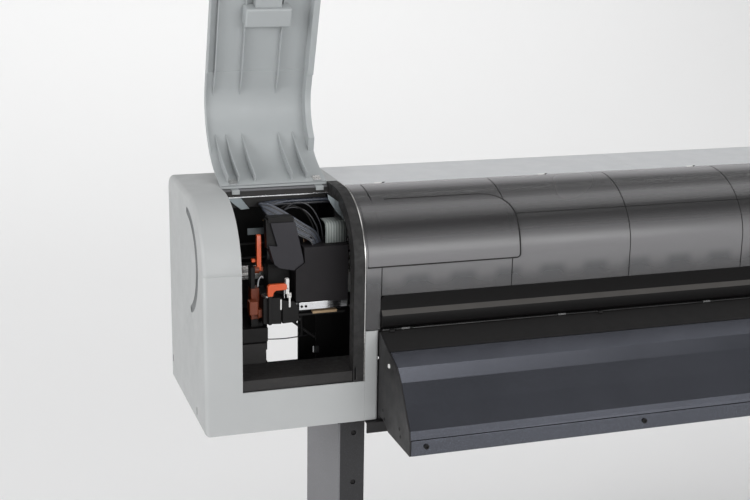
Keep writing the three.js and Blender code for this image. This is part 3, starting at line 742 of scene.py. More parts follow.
def door():
    hinge = Matrix.Translation(at(0, HINGE_Y, HEIGHT))
    place = hinge @ Matrix.Rotation(math.radians(-DOOR_ANGLE), 4, "X") @ hinge.inverted()
    edge = HINGE_Y - 0.5
    wall = 2.8
    outer = [(0, DOOR_BOTTOM), (0, CURVE_BASE - 0.8), (0.7, CURVE_BASE), *curve(0, 1), (edge, HEIGHT)]
    ridge = [(wall, DOOR_STEP - 0.5), (wall + 1.8, DOOR_STEP + 0.3), (wall + 1.8, DOOR_STEP + 3)]
    inner = [(wall, DOOR_BOTTOM), *ridge, *curve(wall, 3), (edge, HEIGHT - wall)]
    skin = prism("door_skin", outer + inner[::-1], "x", DOOR_LEFT, DOOR_RIGHT, DOOR_GREY, "left_door",
                 "left_access_door", edge=0.9, place=place)

    def flange(name, lower, upper, x0, x1):
        top = 66
        outside = [(1, SHELF_TOP + 3), *curve(1, 0, top, 20)]
        inside = [(lower, SHELF_TOP + 3), (lower, DOOR_STEP - 1), (upper, DOOR_STEP + 1),
                  *curve(upper, 0, top - 8, 18)]
        prism(name, outside + inside[::-1], "x", x0, x1, DOOR_GREY, "left_door", edge=0.7, place=place)

    flange("door_right_flange", 33, 28, DOOR_RIGHT - 13, DOOR_RIGHT - 0.1)
    flange("door_left_flange", 15, 9, DOOR_LEFT + 0.1, DOOR_LEFT + 3)
    block("door_end_lip", DOOR_LEFT + 1, DOOR_RIGHT - 1, 1, 3.4, DOOR_BOTTOM + 0.2, DOOR_BOTTOM + 3,
          DOOR_GREY, "left_door", place=place)
    lower_rib = [*curve(wall - 0.5, 45, 90, 14), (edge - 11, HEIGHT - wall + 0.5), (edge - 11, HEIGHT - 18),
                 (CURVE_DEPTH, HEIGHT - 20), (120, HEIGHT - 23), (88, HEIGHT - 29)]
    for x in (-232, -209, -175, -97, -65):
        prism(f"door_rib_{-x}", lower_rib, "x", x - 1.3, x + 1.3, DOOR_GREY, "left_door", edge=0.5,
              place=place)
    upper_rib = [*curve(wall - 0.5, 0, 11, 5), (14.5, CURVE_BASE - 20), (12.5, 118), (wall - 0.5, 110)]
    for x in (-232, -175, -97):
        prism(f"door_long_rib_{-x}", upper_rib, "x", x - 1.2, x + 1.2, DOOR_GREY, "left_door", edge=0.5,
              place=place)

    latch = block_mesh("latch_case", -181, -84, wall, 36, 143, 183, DOOR_GREY, place)
    bevel(latch, 4, 4, 40)
    done(latch, "left_door", "door_latch", slot="light_plastic")
    block("latch_step", -160, -105, wall, 28, 120, 143.4, DOOR_GREY, "left_door", edge=1.5, place=place,
          segments=3)
    for x in (-221, -45):
        block(f"hinge_leaf_{-x}", x - 8, x + 8, 176, edge, HEIGHT - 5, HEIGHT - wall - 0.05, SILVER,
              "left_door", edge=0.4, place=place)
        lathe(f"hinge_pin_{-x}", rod_profile(1.2, -8, 8), "x", (x, HINGE_Y - 0.8, HEIGHT - 4.2), ZINC,
              "left_door", place=place)


# ------------------------------------------------------------------ covers
COVER_HINGE_Y = 153
COVER_BOTTOM = 262.3
BAND_LOW = 196
PANE_LOW, PANE_TOP_ANGLE, PANE_RIGHT = 322.5, 60, 330
SEAMS = [33, 315, 585.5, 859, 1131, 1403, 1675, SPAN - 33]


def front_cover():
    rings = [section_ring(0.5, 0, 4, COVER_BOTTOM, COVER_HINGE_Y, 407)]
    for x in SEAMS:
        for dx, inset in ((-1.1, 0), (-0.5, 0.8), (0.5, 0.8), (1.1, 0)):
            rings.append(section_ring(x + dx, inset, 4 - inset, COVER_BOTTOM, COVER_HINGE_Y, 407))
    rings.append(section_ring(SPAN - 0.5, 0, 4, COVER_BOTTOM, COVER_HINGE_Y, 407))
    cover = loft("smoked_cover", rings, SMOKED)
    tabs = [block_mesh("tab", *spread(s, 0.5, 31.2), 0, 4, 192, COVER_BOTTOM + 2, SMOKED)
            for s in SIDES]
    carve(cover, *tabs, how="UNION")
    bevel(cover, 0.6, 2, 50)
    done(cover, "front_cover", "front_cover", slot="smoked_plastic")

    # the raised pane at the left end, with rounded corners and a black line along its edge: painted shade at
    # the pane's step
    def pane_line(inset):
        return [(inset, PANE_LOW), *curve(inset, 0, PANE_TOP_ANGLE, 44)]

    def corner_cut(reach, radius):
        return radius - math.sqrt(radius ** 2 - max(0, radius - reach) ** 2)

    points = pane_line(0)
    lengths = [sum(math.dist(a, b) for a, b in zip(points[:i], points[1:i + 1])) for i in range(len(points))]
    cuts = [max(corner_cut(run, 6), corner_cut(lengths[-1] - run, 66)) for run in lengths]
    rows = []
    for (y, z), cut in zip(pane_line(-2.4), cuts):
        left, right = 4.5, PANE_RIGHT - cut
        rows.append([(left + (right - left) * k / 14, y, z) for k in range(15)])
    pane = new_mesh("raised_pane", [p for row in rows for p in row], grid_faces(len(rows), 15), SMOKED)
    solidify(pane, 2.6)
    bevel(pane, 0.9, 3, 50)
    done(pane, "front_cover", slot="smoked_plastic")

    # a black line along the pane's edge: painted shade at its step
    inner = pane_line(-1)
    edge_line = [(x, *inner[0]) for x in (3.4, 60, 120, 180, 240, 300)]
    edge_line += [(PANE_RIGHT + 1.4 - cut, y, z) for (y, z), cut in zip(inner, cuts)]
    edge_line += [(x, *inner[-1]) for x in range(240, 20, -45)]
    edge_shade = sweep_mesh("pane_edge_shade", [Vector(p) for p in edge_line], round_section(1.9, 10), BLACK,
                        (0, 1, 0.3))
    edge_shade.data.shade_smooth()
    done(edge_shade, "front_cover")
    bend_y, bend_z = curve(0.2, 0, 38, 1)[1]
    tube("cover_bend_line", [(36, bend_y, bend_z), (SPAN / 2, bend_y, bend_z), (SPAN - 36, bend_y, bend_z)],
         0.55, BLACK, "front_cover")
    for k, x in enumerate(SEAMS):
        path = [Vector((x, y, z)) for y, z in [(0.3, COVER_BOTTOM + 1), *curve(0.3, 0, 88, 30)]]
        seam = sweep_mesh(f"cover_seam_{k}", path, round_section(0.75, 6), BLACK, (1, 0, 0))
        seam.data.shade_smooth()
        done(seam, "front_cover")

    for k, x in enumerate((77.6, 448.6, 814, 1182, 1550, 1918)):
        block(f"cover_clip_{k}", x - 11, x + 5, 153.6, 160, HEIGHT - 1, HEIGHT + 0.9, WHITE, MACHINE,
              edge=0.4)
        wedge = [(x + 5, 153.6), (x + 14, 161), (x + 8, 161), (x + 1, 153.6)]
        prism(f"cover_clip_shadow_{k}", wedge, "z", HEIGHT - 1, HEIGHT + 0.7, BLACK, MACHINE, edge=0.3)


def cover_band():
    rings = []
    x_end, corner = 31.7, 9

    def ring(x, drop):
        top = 262 - drop
        return [(x, y, z) for y, z in ((-4.5, BAND_LOW + 0.4), (5, BAND_LOW), (6, BAND_LOW + 1), (6, top),
                                       (0.2, top), (-1, top - 1.2), (-1, 233.2), (-1.3, 231.6),
                                       (-8.3, 222.6), (-9, 220.8), (-9, BAND_LOW + 4.8),
                                       (-8.2, BAND_LOW + 3))]

    for k in range(7):
        a = math.radians(90 * k / 6)
        rings.append(ring(x_end + corner * (1 - math.cos(a)), corner * (1 - math.sin(a))))
    rings += [[(SPAN - p[0], p[1], p[2]) for p in r] for r in reversed(rings)]
    band = loft("cover_grip_band", rings, BAND)
    bevel(band, 0.5, 2, 45)
    done(band, "front_cover", "front_cover_band", slot="black_plastic")
    # a thin paler strip over the band's lower facet: painted highlight
    facet = [(-1.5, 231.9), (-8.6, 222.8), (-9.3, 222.4), (-2.2, 232.3)]
    prism("band_facet", facet, "x", x_end + 1, SPAN - x_end - 1, BAND_PAINTED_HIGHLIGHT, "front_cover", edge=0.3)


def platen_edge():
    """Saw-toothed cutter strip, clips and hooks under the band."""
    pitch, low, high = 5.6, 190.4, 194.2
    count = int((SPAN - 70) / pitch)
    points = []
    for i in range(count):
        x = 35 + pitch * i
        points += [(x, low + 1.2), (x + pitch / 2, high)]
    outline = [(35, low), *points, (35 + pitch * count, low + 1.2), (35 + pitch * count, low)]
    prism("cutter_strip", outline[::-1], "y", -4.5, -2.9, GREY_METAL, MACHINE, edge=0)
    for k in range(6):
        x = 83 + 347.5 * k
        block(f"edge_clip_{k}", x - 9, x + 9, -7.5, -2, 190.5, 194.6, GREY_METAL, MACHINE, edge=0.8)
    for k in range(4):
        x = 53 + 466 * k
        block(f"edge_hook_{k}", x - 5, x + 5, -12.5, -6, 188.6, 193.5, BLACK, MACHINE, edge=0.9)


def top_cover():
    lip = COVER_HINGE_Y + 4
    outer = [(lip, HEIGHT - 9), (lip, HEIGHT), *rear_arc(0, 14)]
    inner = [(lip + 2.6, HEIGHT - 9), (lip + 2.6, HEIGHT - 3), *rear_arc(3, 14)]
    rings = []
    for x in (0.4, *(s + d for s in (682, 1364) for d in (-0.9, -0.4, 0.4, 0.9)), SPAN - 0.4):
        sunk = 0.6 if any(abs(x - s) < 0.6 for s in (682, 1364)) else 0
        outline = [(y - sunk * (y > DEPTH - 4), z - sunk * (z > HEIGHT - 28)) for y, z in outer] + inner[::-1]
        rings.append([(x, y, z) for y, z in outline])
    lid = loft("top_lid", rings, LID_TOP)
    bevel(lid, 0.6, 2, 45)
    done(lid, MACHINE, "top_cover", slot="light_plastic")


def front_strip():
    for side in SIDES:
        line = [(0.3, 3), (0.3, 0.4), (0.7, 0), (22.8, 0)]
        line += [(22.8 + 6 * math.sin(a),
                  6 - 6 * math.cos(a)) for a in (math.radians(15 * i) for i in range(1, 7))]
        line += [(28.8, 12), (26.2, 12), (26.2, 6.5), (22.4, 3)]
        outline = [(mirrored(side, x), y) for x, y in line]
        strip = prism(f"front_strip_{side}", outline, "z", 0, 190, LIGHT_GREY, MACHINE, edge=0.3)
    block("front_back_plate", 30, SPAN - 30, 0, 3, 0, 186, DARK_SHEET, MACHINE, "front_lower_panel", edge=0.5)


# ------------------------------------------------------------------ apron, stand and casters
RAIL_Y, RAIL_Z = -193, 15


def apron():
    for k in range(5):
        x = 62.7 + 471 * k
        lathe(f"apron_screw_{k}", [(0.01, 1), (5, 1), (5, -3.2), (4.4, -3.8), (2.6, -3.8), (2.4, -1.6),
                                   (0.01, -1.6)], "y", (x, RAIL_Y, RAIL_Z), BLACK, MACHINE, steps=28)
    # a black strip over the apron's top facet: painted shadow of the body above
    strip = [(-4.5, 188.9), (-62.4, 164.7), (-62.9, 165.9), (-5.0, 190.2)]
    prism("apron_painted_shadow_strip", strip, "x", 31, SPAN - 31, BLACK, MACHINE, edge=0.3)
    for side in SIDES:
        x = mirrored(side, 28.7)
        way = -1 if side == "left" else 1
        screw(f"apron_side_screw_{side}", "x", (x, -68, 138), 4.5, MACHINE, way, WHITE)
        for y, z in ((-34, 32), (-44, 17), (-133, 31), (-140, 17)):
            profile = [(3.4, way * 0.4), (3.4, -way * 1.5), (0.01, -way * 1.5), (0.01, way * 0.05),
                       (3.0, way * 0.05)]
            lathe(f"apron_hole_{side}_{-y}_{z}", profile, "x", (x, y, z), BLACK, MACHINE, steps=24)


def stand():
    leg_low, leg_high = local_box("stand_leg_left")
    z0, z1 = leg_low.z, leg_high.z
    for side in SIDES:
        def m(x):
            return mirrored(side, x)
        x0, x1, y0, y1 = leg_low.x, leg_high.x, leg_low.y, leg_high.y
        channel = [(x0 + 13, y0), (x1 - 2, y0), (x1, y0 + 2), (x1, y1), (x0 + 4, y1), (x0, y1 - 4),
                   (x0, y0 + 5), (x0 + 3, y0 + 1.5)]
        leg = prism_mesh(f"stand_post_{side}", [(m(x), y) for x, y in channel], "z", z0, z1, STAND_DARK)
        leg.data.materials.append(STAND_LIGHT)
        outer = -1 if side == "left" else 1
        for face in leg.data.polygons:
            if face.normal.x * outer > 0.5:
                face.material_index = 1
        holes = [lathe_mesh("hole", rod_profile(5.5, -2, 6), "y", (m(10), y0, z), BLACK, 28) for z in (-68,
                                                                                                       -181)]
        carve(leg, *holes)
        bevel(leg, 1.2, 3, 40)
        done(leg, MACHINE, f"stand_leg_{side}", slot="stand_paint")
        for k, z in enumerate((-68, -181)):
            lathe(f"post_bolt_{side}_{k}", [(0.01, 2), (4.2, 2), (4.2, 6), (0.01, 6)], "y", (m(10), y0, z),
                  BLACK, MACHINE)
        block(f"post_top_plate_{side}", *spread(side, x0 - 6, x1 + 30), y0 + 4, y1 - 4, z1, -28.05,
              STAND_DARK, MACHINE)
        block(f"post_foot_plate_{side}", *spread(side, x0 - 3, x1 + 3), y0 - 40, y1 + 40, z0, z0 + 5,
              STAND_DARK, MACHINE, edge=1.2)
        for k, y in enumerate((y0 - 26, y1 + 26)):
            for x in (x0 + 12, x1 - 12):
                screw(f"foot_bolt_{side}_{k}_{int(x)}", "z", (m(x), y, z0 + 5), 5, MACHINE)
        foot(side)


def foot(side):
    low, high = local_box("stand_foot_left")
    height = high.z - low.z
    ends = 70
    outline = [(low.y, low.z), (high.y, low.z), (high.y, low.z + height * 0.62), (high.y - ends, high.z),
               (low.y + ends, high.z), (low.y, low.z + height * 0.62)]
    piece = prism_mesh(f"foot_rail_{side}", outline, "x", *spread(side, low.x, high.x), STAND_DARK)
    hollow = block_mesh("hollow", *spread(side, low.x + 3, high.x - 3), low.y + 100, high.y - 100, low.z - 5,
                        high.z - 3, STAND_DARK)
    carve(piece, hollow)
    bevel(piece, 3, 3, 40)
    done(piece, MACHINE, f"stand_foot_{side}", slot="stand_paint")


def both_ends(profile):
    """A profile's outer half, with its mirror image put first."""
    return [(r, -h) for r, h in profile] + profile[::-1]


def caster(end, side):
    tag = f"{end}_{side}"
    wheel_body, fork_body = f"caster_wheel_{tag}", f"caster_fork_{tag}"
    low, high = local_box(wheel_body)
    fork_low, fork_high = local_box(fork_body)
    c = (low + high) / 2
    r, half, top = (high.y - low.y) / 2, (high.x - low.x) / 2, fork_high.z
    way, pivot = (1, fork_low.y + 28) if end == "front" else (-1, fork_high.y - 28)

    tyre = both_ends([(r - 9, half), (r - 3.5, half - 0.5), (r - 0.8, half - 4), (r, half - 8)])
    lathe(f"tyre_{tag}", tyre, "x", c, RUBBER, wheel_body, wheel_body, steps=56)
    hub = both_ends([(6, half + 0.6), (12, half + 0.6), (13, half - 3), (r - 12, half - 3.5),
                     (r - 9.2, half + 0.2), (r - 8.8, half + 0.2)])
    lathe(f"hub_{tag}", hub, "x", c, CHARCOAL, wheel_body)
    cap = [(0.01, -9.5), (17, -9.5), (22, -6), (28, -4.5), (28, -2.6), (25.5, -2), (25.5, 0), (0.01, 0)]
    lathe(f"swivel_{tag}", cap, "z", (c.x, pivot, top), ZINC, fork_body, fork_body, steps=40)
    line = [(-18, top - 5), (20, top - 5), (31, top - 22), (44, c.z + 8), (42, c.z - 6), (36, c.z - 10),
            (25, c.z - 10), (19, c.z - 4), (10, c.z + 12), (-16, top - 20)]
    outline = [(pivot + way * y, z) for y, z in line][::way]
    for ear, name in ((-1, "in"), (1, "out")):
        a, b = sorted((c.x + ear * (half + 2.2), c.x + ear * (half + 4.6)))
        prism(f"fork_arm_{tag}_{name}", outline, "x", a, b, ZINC, fork_body, edge=0.8)
    axle = both_ends([(0.01, half + 7), (6.5, half + 7), (7.5, half + 5), (5, half + 4.5)])
    lathe(f"axle_{tag}", axle, "x", c, ZINC, fork_body, steps=24)


# ------------------------------------------------------------------ carriage and service bay
def carriage():
    right = [(-119, 234), (-8, 230), (-8, 345), (-10, 347), (-102, 347), (-100, 315), (-119, 302)]
    prism("carriage_case", right, "y", 92, 176, CASE_BLACK, "carriage", "carriage_cover", edge=1.2,
          segments=3)
    tower = [(-119.2, 299), (-100, 315), (-103, 330), (-119, 400), (-170, 400), (-156, 352), (-174, 354),
             (-162, 315), (-152, 306)]
    prism("carriage_tower", tower, "y", 97, 130, CHARCOAL, "carriage", edge=1.2, segments=3)
    backing = [(-176, 346), (-152, 346), (-150, 406), (-178, 406)]
    prism("tower_backing", backing, "y", 104, 124, BLACK, "carriage", edge=1)
    block("tower_cap", -174, -121, 101, 128, 399, 410, BLACK, "carriage", edge=1.5, segments=3)
    for x in (-106, -97):
        screw(f"slider_screw_{-x}", "y", (x, 94, 223), 2.6, "carriage", way=-1, material=BLACK)
    for k in range(2):
        screw(f"clamp_screw_{k}", "y", (-99 + 28 * k, 199.2, 326), 2.6, "carriage")
    for k in range(4):
        block(f"head_die_{k}", -143 + 31 * k, -122 + 31 * k, 118, 162, 196.8, 199.4, SILVER, "carriage",
              edge=0.3)
    blocks("carriage", (
        ("case_underside", -165, -119, 140, 174, 231, 304, BLACK, 1.5),
        ("carriage_slider", -112, -8, 94, 104, 215, 232, CHROME, 1.2),
        ("carriage_wear_pad", -82, -30, 97, 110, 205, 210.5, TAN, 1),
        ("carriage_wear_base", -112, -12, 98, 112, 202, 207, BLACK, 1),
        ("carriage_bed", -165, -8, 104, 194, 213, 229, ZINC, 1, "carriage_base"),
        ("carriage_back", -155, -18, 184, 194, 228.5, 334, ZINC, 1),
        ("belt_clamp", -105, -65, 192, 199.4, 316, 336, BLACK, 0.8),
        ("head_block", -153, -20, 112, 172, 199, 213, BLACK, 1.2, "print_head"),
        ("head_board", -112, -12, 176.5, 178.2, 240, 338, BOARD, 0.3),
    ))


def cables():
    # flat cable: upright ribbons rising from the carriage, and a run that bends between it and the frame
    low, high = 344, 386
    face = [(110, low), (110, high - 6), (111.5, high), (116, high + 4), (124, high + 5.5), (150, high + 6)]
    inner = [(y + 1.1, z - 0.6) for y, z in face]
    for k in range(3):
        slip = 2.6 * k
        outline = [(y + slip, z - slip * 0.4) for y, z in face + inner[::-1]]
        ribbon = prism(f"head_ribbon_{k}", outline, "x", -52 + 1.2 * k, -9 + 1.2 * k, RIBBON, "carriage",
                       edge=0)
    block("ribbon_clamp", -56, -3, 107.5, 119, 343, 349, BLACK, "carriage", edge=0.8)
    block("ribbon_guide", -9.5, -6.5, 108, 150, 352, 388, BLACK, "carriage", edge=0.6)
    middle, radius, bend = 371, 20, -22
    arc = [(bend - radius * math.sin(t),
            middle - radius * math.cos(t)) for t in (math.pi * i / 16 for i in range(17))]
    line = [(-5, middle - radius), *arc, *((x, middle + radius) for x in range(0, 1004, 40))]
    rows = [[(x, y, z) for y in (120, 134, 150)] for x, z in line]
    run = new_mesh("ribbon_run", [p for row in rows for p in row], grid_faces(len(rows), 3), RIBBON)
    solidify(run, 1.2)
    run.data.shade_smooth()
    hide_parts("flat_cable")
    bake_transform(run)

    count = 8
    for k in range(count):
        s = k - (count - 1) / 2
        lift = 421 + (1.8 if k % 2 else -3.4)
        back = 188 + s * 1.9
        drop = 2.6 * s
        path = [*((x, back, lift) for x in range(1003, -50, -100)), (-110 - s, back - 1, lift + 1),
                (-150 - 1.2 * s, back - 10, 421 + 0.6 * s), (-172 - s, 164 + s, 421 + s),
                (-160 + s, 148 + 1.5 * s, 415 + drop), (-132 + 1.5 * s, 138 + 2 * s, 399 + drop),
                (-102 + 2 * s, 130 + 2.5 * s, 378 + drop), (-76 + 2.6 * s, 126 + 3 * s, 362 + drop * 0.6),
                (-66 + 3 * s, 124 + 3.2 * s, 344)]
        line = soft_tube(f"ink_line_{k}", smooth_path(path), 2.5, TUBE if k % 3 else DARK_TUBE, 10)
        if not k:
            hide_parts("ink_tubes")
        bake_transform(line)
    for k, (material, x, height) in enumerate(((DARK_TUBE, -84, 30), (DARK_TUBE, -92, 20), (BLACK, -100, 24),
                                               (RUST, -120, 2), (TAN, -124, 0))):
        path = [(x - 46, 160, 392 + height * 0.5), (x - 20, 156 + 2 * k, 396 + height),
                (x + 10, 150, 388 + height), (x + 30, 144, 366 + height * 0.6), (x + 36, 140, 344)]
        done(soft_tube(f"head_wire_{k}", smooth_path(path), 1.5 if k < 3 else 0.9, material, 8), "carriage")
    for k in range(2):
        comb = Matrix.Translation(at(-112 + 34 * k, 130, 378 - 14 * k))
        place = comb @ Matrix.Rotation(math.radians(26), 4, "Y") @ comb.inverted()
        block(f"tube_comb_{k}", -115 + 34 * k, -109 + 34 * k, 116, 152, 372 - 14 * k, 375 - 14 * k, BLACK,
              "carriage", edge=0.6, place=place)


def service_bay():
    left_block = [(-188, 194), (-150, 192), (-150, 248), (-188, 249)]
    prism("station_case", left_block, "y", 86.8, 182, BLACK, MACHINE, "capping_station", edge=1.6, segments=3)
    right_block = [(-148, 192), (-118, 193), (-113, 200), (-113, 222), (-121, 236), (-148, 242)]
    prism("station_head", right_block, "y", 88, 182, BLACK, MACHINE, edge=1.6, segments=3)
    for k in range(4):
        x0 = -176 + 17 * k
        block(f"cap_seat_{k}", x0, x0 + 12, 112, 168, 196.5, 198.6, RUBBER, MACHINE, edge=0.8)
    for k, (x0, x1, z0, z1) in enumerate(((-153, -149.5, 222, 244), (-135, -131, 226, 250),
                                          (-145, -143.4, 246, 272))):
        block(f"station_pin_{k}", x0, x1, 86.6, 92, z0, z1, WHITE if k < 2 else CHROME, MACHINE, edge=0.6)
    screw("station_plate_screw", "y", (-137.5, 87, 266), 1.6, MACHINE, way=-1)
    plate = [(0.01, 249), (11.5, 249), (13, 250), (13, 252.4), (12, 253.4), (0.01, 253.4)]
    lathe("station_disc", plate, "z", (-176, 98, 0), SILVER, MACHINE, steps=48)
    block("station_cam", -196, -182, 100, 118, 204, 222, RUST, MACHINE, edge=3, segments=3)
    guard = arc((-186, 268), 9, 22, 60, 180, 10) + arc((-186, 268), 6, 19, 180, 60, 10)
    prism("station_guard", guard, "y", 108, 112, ZINC, MACHINE, edge=0.5)
    wiper = "wiper_lever"
    hook = [(-181, 254), (-170, 254), (-168, 262), (-164, 265.5), (-143, 266), (-141, 268.5), (-141, 276),
            (-144, 279), (-177, 279), (-181, 275.5)]
    prism("wiper_hook", hook, "y", 77, 86, ORANGE, wiper, wiper, edge=1.4, segments=3)
    block("wiper_stalk", -179, -172, 79, 85.5, 194, 255, BLACK, wiper, edge=1)
    lock = "carriage_lock_lever"
    arm = [(125, 296), (135, 296), (135, 366), (133, 371), (127, 371), (125, 366)]
    prism("lock_arm", arm, "x", -191.5, -182, ORANGE, lock, lock, edge=1.4, segments=3)
    lathe("lock_hub", rod_profile(8, -196.5, -186.5, 1), "x", (0, 130, 298), RUST, lock, steps=32)
    block("lock_foot", -192, -178, 126, 134, 294, 304, RUST, lock, edge=1.5)
    block("lock_thumb", -202, -194, 126, 134, 314, 321, ORANGE, lock, edge=1.5, segments=3)
    # the shelf across the bay's mouth, brackets and wires
    shelf = [(3.8, 86), (7, 85.6), (9, SHELF_TOP), (3.8, SHELF_TOP - 1)]
    prism("bay_shelf_front", shelf, "x", DOOR_LEFT, -25, LEDGE, MACHINE, edge=0.8)
    left_tab = [(-240, 437), (-210, 436), (-190, 410), (-208, 409), (-226, 424)]
    prism("upper_left_bracket", left_tab, "y", 191, 193.4, BLUE_STEEL, MACHINE, edge=0.5)
    stem = [(-231, 409), (-226, 409), (-228, 330), (-230, 330)]
    prism("upper_left_stem", stem, "y", 192, 194, ZINC, MACHINE, edge=0.3)
    right_tab = [(-48, 450), (-15, 426), (-13, 396), (-30, 414), (-46, 439)]
    prism("upper_right_bracket", right_tab, "y", 112, 114.4, BLUE_STEEL, MACHINE, edge=0.5)
    tube("bay_wire", [(-205, 335, 86), (-150, 332, 80), (-91, 330, 76), (-50, 331, 77), (-12, 334, 80)], 1.2,
         CHARCOAL, MACHINE)
    for k, (start, end) in enumerate((((-100, 300, 150), (-30, 262, 96)),
                                      ((-58, 280, 190), (-58, 270, 100)))):
        tube(f"bay_brace_{k}", [start, tuple((a + b) / 2 for a, b in zip(start, end)), end], 3, DARK_SHEET,
             MACHINE)
    blocks(MACHINE, (
        ("station_bed", -190, -105, 104, 182, 190, 197, BLACK, 1.5),
        ("station_leg", -190, -180, 120, 182, 3.5, 191, BLACK, 1.5),
        ("station_plate", -141, -134, 87, 97, 254, 286, WHITE, 0.8),
        ("station_plate_foot", -139, -129, 86.8, 94, 246, 256, SILVER, 0.8),
        ("station_post", -206, -188, 118, 142, 196, 262, RUST, 2),
        ("station_post_base", -206, -190, 118, 142, 130, 197, BLACK, 1),
        ("station_post_tip", -206, -197, 118, 142, 261, 306, BLACK, 1.2),
        ("station_latch", -214, -196, 96, 118, 212, 240, RUST, 2),
        ("bay_side_box", DOOR_LEFT - 1, -179, 98, 250, 6, 150, LEDGE, 1.2),
        ("bay_side_cover", DOOR_LEFT - 1, -174, 104, 250, 151, 181, BLACK, 1.2),
        ("bay_shelf", DOOR_LEFT - 1, -25, 7, 96, 104, SHELF_TOP, LEDGE, 1.5),
        ("bay_divider", 1.2, 3.4, 232, 352, 196, 428, DARK_SHEET, 0.5),
        ("bay_shelf_end", -26, -2.6, 28.6, 96, 95, 108.5, LEDGE, 0.8),
        ("bay_upper_plate", -196, -162, 186, 188, 356, 370, BLUE_STEEL, 0.6),
        ("beam_edge_trim", -248, -25, 184, 185.6, 435.4, 437.6, CHROME, 0.3),
        ("beam_soffit", -248, -25, 185.4, 200, 437, 448, LEDGE, 0.6),
        ("bay_small_bracket", -32, -20, 262, 270, 60, 74, ZINC, 0.6),
    ))


# ------------------------------------------------------------------ drive, media path and roll holder
def inner_plate():
    line = [(268, 192), (268, 205), (300, 262), (340, 400), (342, 400), (302, 261), (270, 204), (270, 192)]
    prism("inner_back_plate", line, "x", 4, SPAN - 4, WHITE, MACHINE, edge=0.4)


def drive():
    for name in ("idler_pulley", "drive_pulley"):
        low, high = local_box(name)
        c = (low + high) / 2
        y0, y1 = low.y, high.y
        radius = (high.z - low.z) / 2
        teeth = 28
        ring = []
        for k in range(teeth):
            for d, r in ((-0.3, radius - 1.2), (-0.22, radius), (0.22, radius), (0.3, radius - 1.2)):
                a = 2 * math.pi * (k + d) / teeth
                ring.append((c.x + r * math.cos(a), c.z + r * math.sin(a)))
        wheel = prism_mesh(f"{name}_wheel", ring, "y", y0, y1 - 2.8, SILVER)
        bore = lathe_mesh("bore", rod_profile(3.5, y0 - 2, y1 + 2, 0.1), "y", (c.x, 0, c.z), SILVER, 32)
        carve(wheel, bore)
        done(wheel, name, name)
        plate = [(3.5, y1 - 3), (radius - 2, y1 - 3), (radius - 2, y1 - 0.6), (radius - 2.6, y1), (3.5, y1)]
        lathe(f"{name}_flange", plate, "y", (c.x, 0, c.z), SILVER, name)
    low, high = local_box("carriage_motor")
    c = ((low.x + high.x) / 2, 0, (low.z + high.z) / 2)
    start = local_box("drive_pulley")[1].y + 3
    can = [(0.01, start), (24, start), (26, start + 2), (26, high.y - 12), (25, high.y - 11),
           (25, high.y - 8), (26, high.y - 7), (26, high.y - 2), (24, high.y), (8, high.y),
           (7, high.y - 1.5), (0.01, high.y - 1.5)]
    lathe("motor_can", can, "y", c, BLACK, MACHINE, "carriage_motor", steps=56)
    lathe("motor_shaft", rod_profile(3, low.y, start + 1, 0.4), "y", c, CHROME, MACHINE, steps=24)


def feed():
    low, high = local_box("grit_roller")
    c = (0, (low.y + high.y) / 2, (low.z + high.z) / 2)
    radius = (high.z - low.z) / 2
    profile = [(0.01, low.x), (6, low.x), (6, low.x + 14), (radius, low.x + 14)]
    x = low.x + 30
    while x < high.x - 60:
        profile += [(radius, x), (radius - 0.5, x + 0.8), (radius - 0.5, x + 3), (radius, x + 3.8)]
        x += 112
    profile += [(radius, high.x - 14), (6, high.x - 14), (6, high.x), (0.01, high.x)]
    lathe("feed_roller", profile, "x", c, ZINC, "grit_roller", "grit_roller", steps=48)

    low, high = local_box("pinch_rollers")
    y, table = c[1], 190
    bar = block("pinch_bar", low.x, high.x, 252, 266, table + 6, table + 20, DARK_SHEET, "pinch_rollers",
                "pinch_rollers", edge=1)
    for i in range(17):
        x = SPAN / 2 + (i - 8) * 112
        tyre = [(1.5, x - 24), (6.2, x - 24), (7, x - 23), (7, x + 23), (6.2, x + 24), (1.5, x + 24)]
        lathe(f"pinch_tyre_{i}", tyre, "x", (0, y, table + 7.2), RUBBER, "pinch_rollers", steps=32)
        lathe(f"pinch_pin_{i}", rod_profile(1.8, x - 28, x + 28, 0.3), "x", (0, y, table + 7.2), CHROME,
              "pinch_rollers", steps=16)
        arm = [(y + 8, table + 14), (254, table + 12), (254, table + 40), (246, table + 50),
               (y + 20, table + 50), (y + 8, table + 38)]
        prism(f"pinch_arm_{i}", arm, "x", x - 30, x + 30, BLACK, "pinch_rollers", edge=1.5)
        for s in (-1, 1):
            ear = [(y - 5, table + 4), (y + 2, table + 3), (y + 12, table + 16), (y + 10, table + 22),
                   (y + 4, table + 20)]
            prism(f"pinch_ear_{i}_{'a' if s < 0 else 'b'}", ear, "x", *sorted((x + s * 25.2, x + s * 27.6)),
                  BLACK, "pinch_rollers", edge=0.5)

    low, high = local_box("pressure_lever")
    hub_y, hub_z = 382, 330
    cx = (low.x + high.x) / 2
    lathe("lever_hub", rod_profile(11, cx - 7, cx + 7, 1), "x", (0, hub_y, hub_z), BLACK, "pressure_lever",
          "pressure_lever", steps=40)
    arm = [(hub_y - 6, hub_z), (hub_y + 6, hub_z), (hub_y + 4, 424), (hub_y - 4, 424)]
    prism("lever_arm", arm, "x", cx - 4, cx + 4, ZINC, "pressure_lever", edge=1.2)
    grip = [(0.01, -15), (6, -15), (8.6, -12), (9, 0), (8.6, 12), (6, 15), (0.01, 15)]
    lathe("lever_grip", grip, "x", (cx, hub_y, 430), BLACK, "pressure_lever", steps=40)


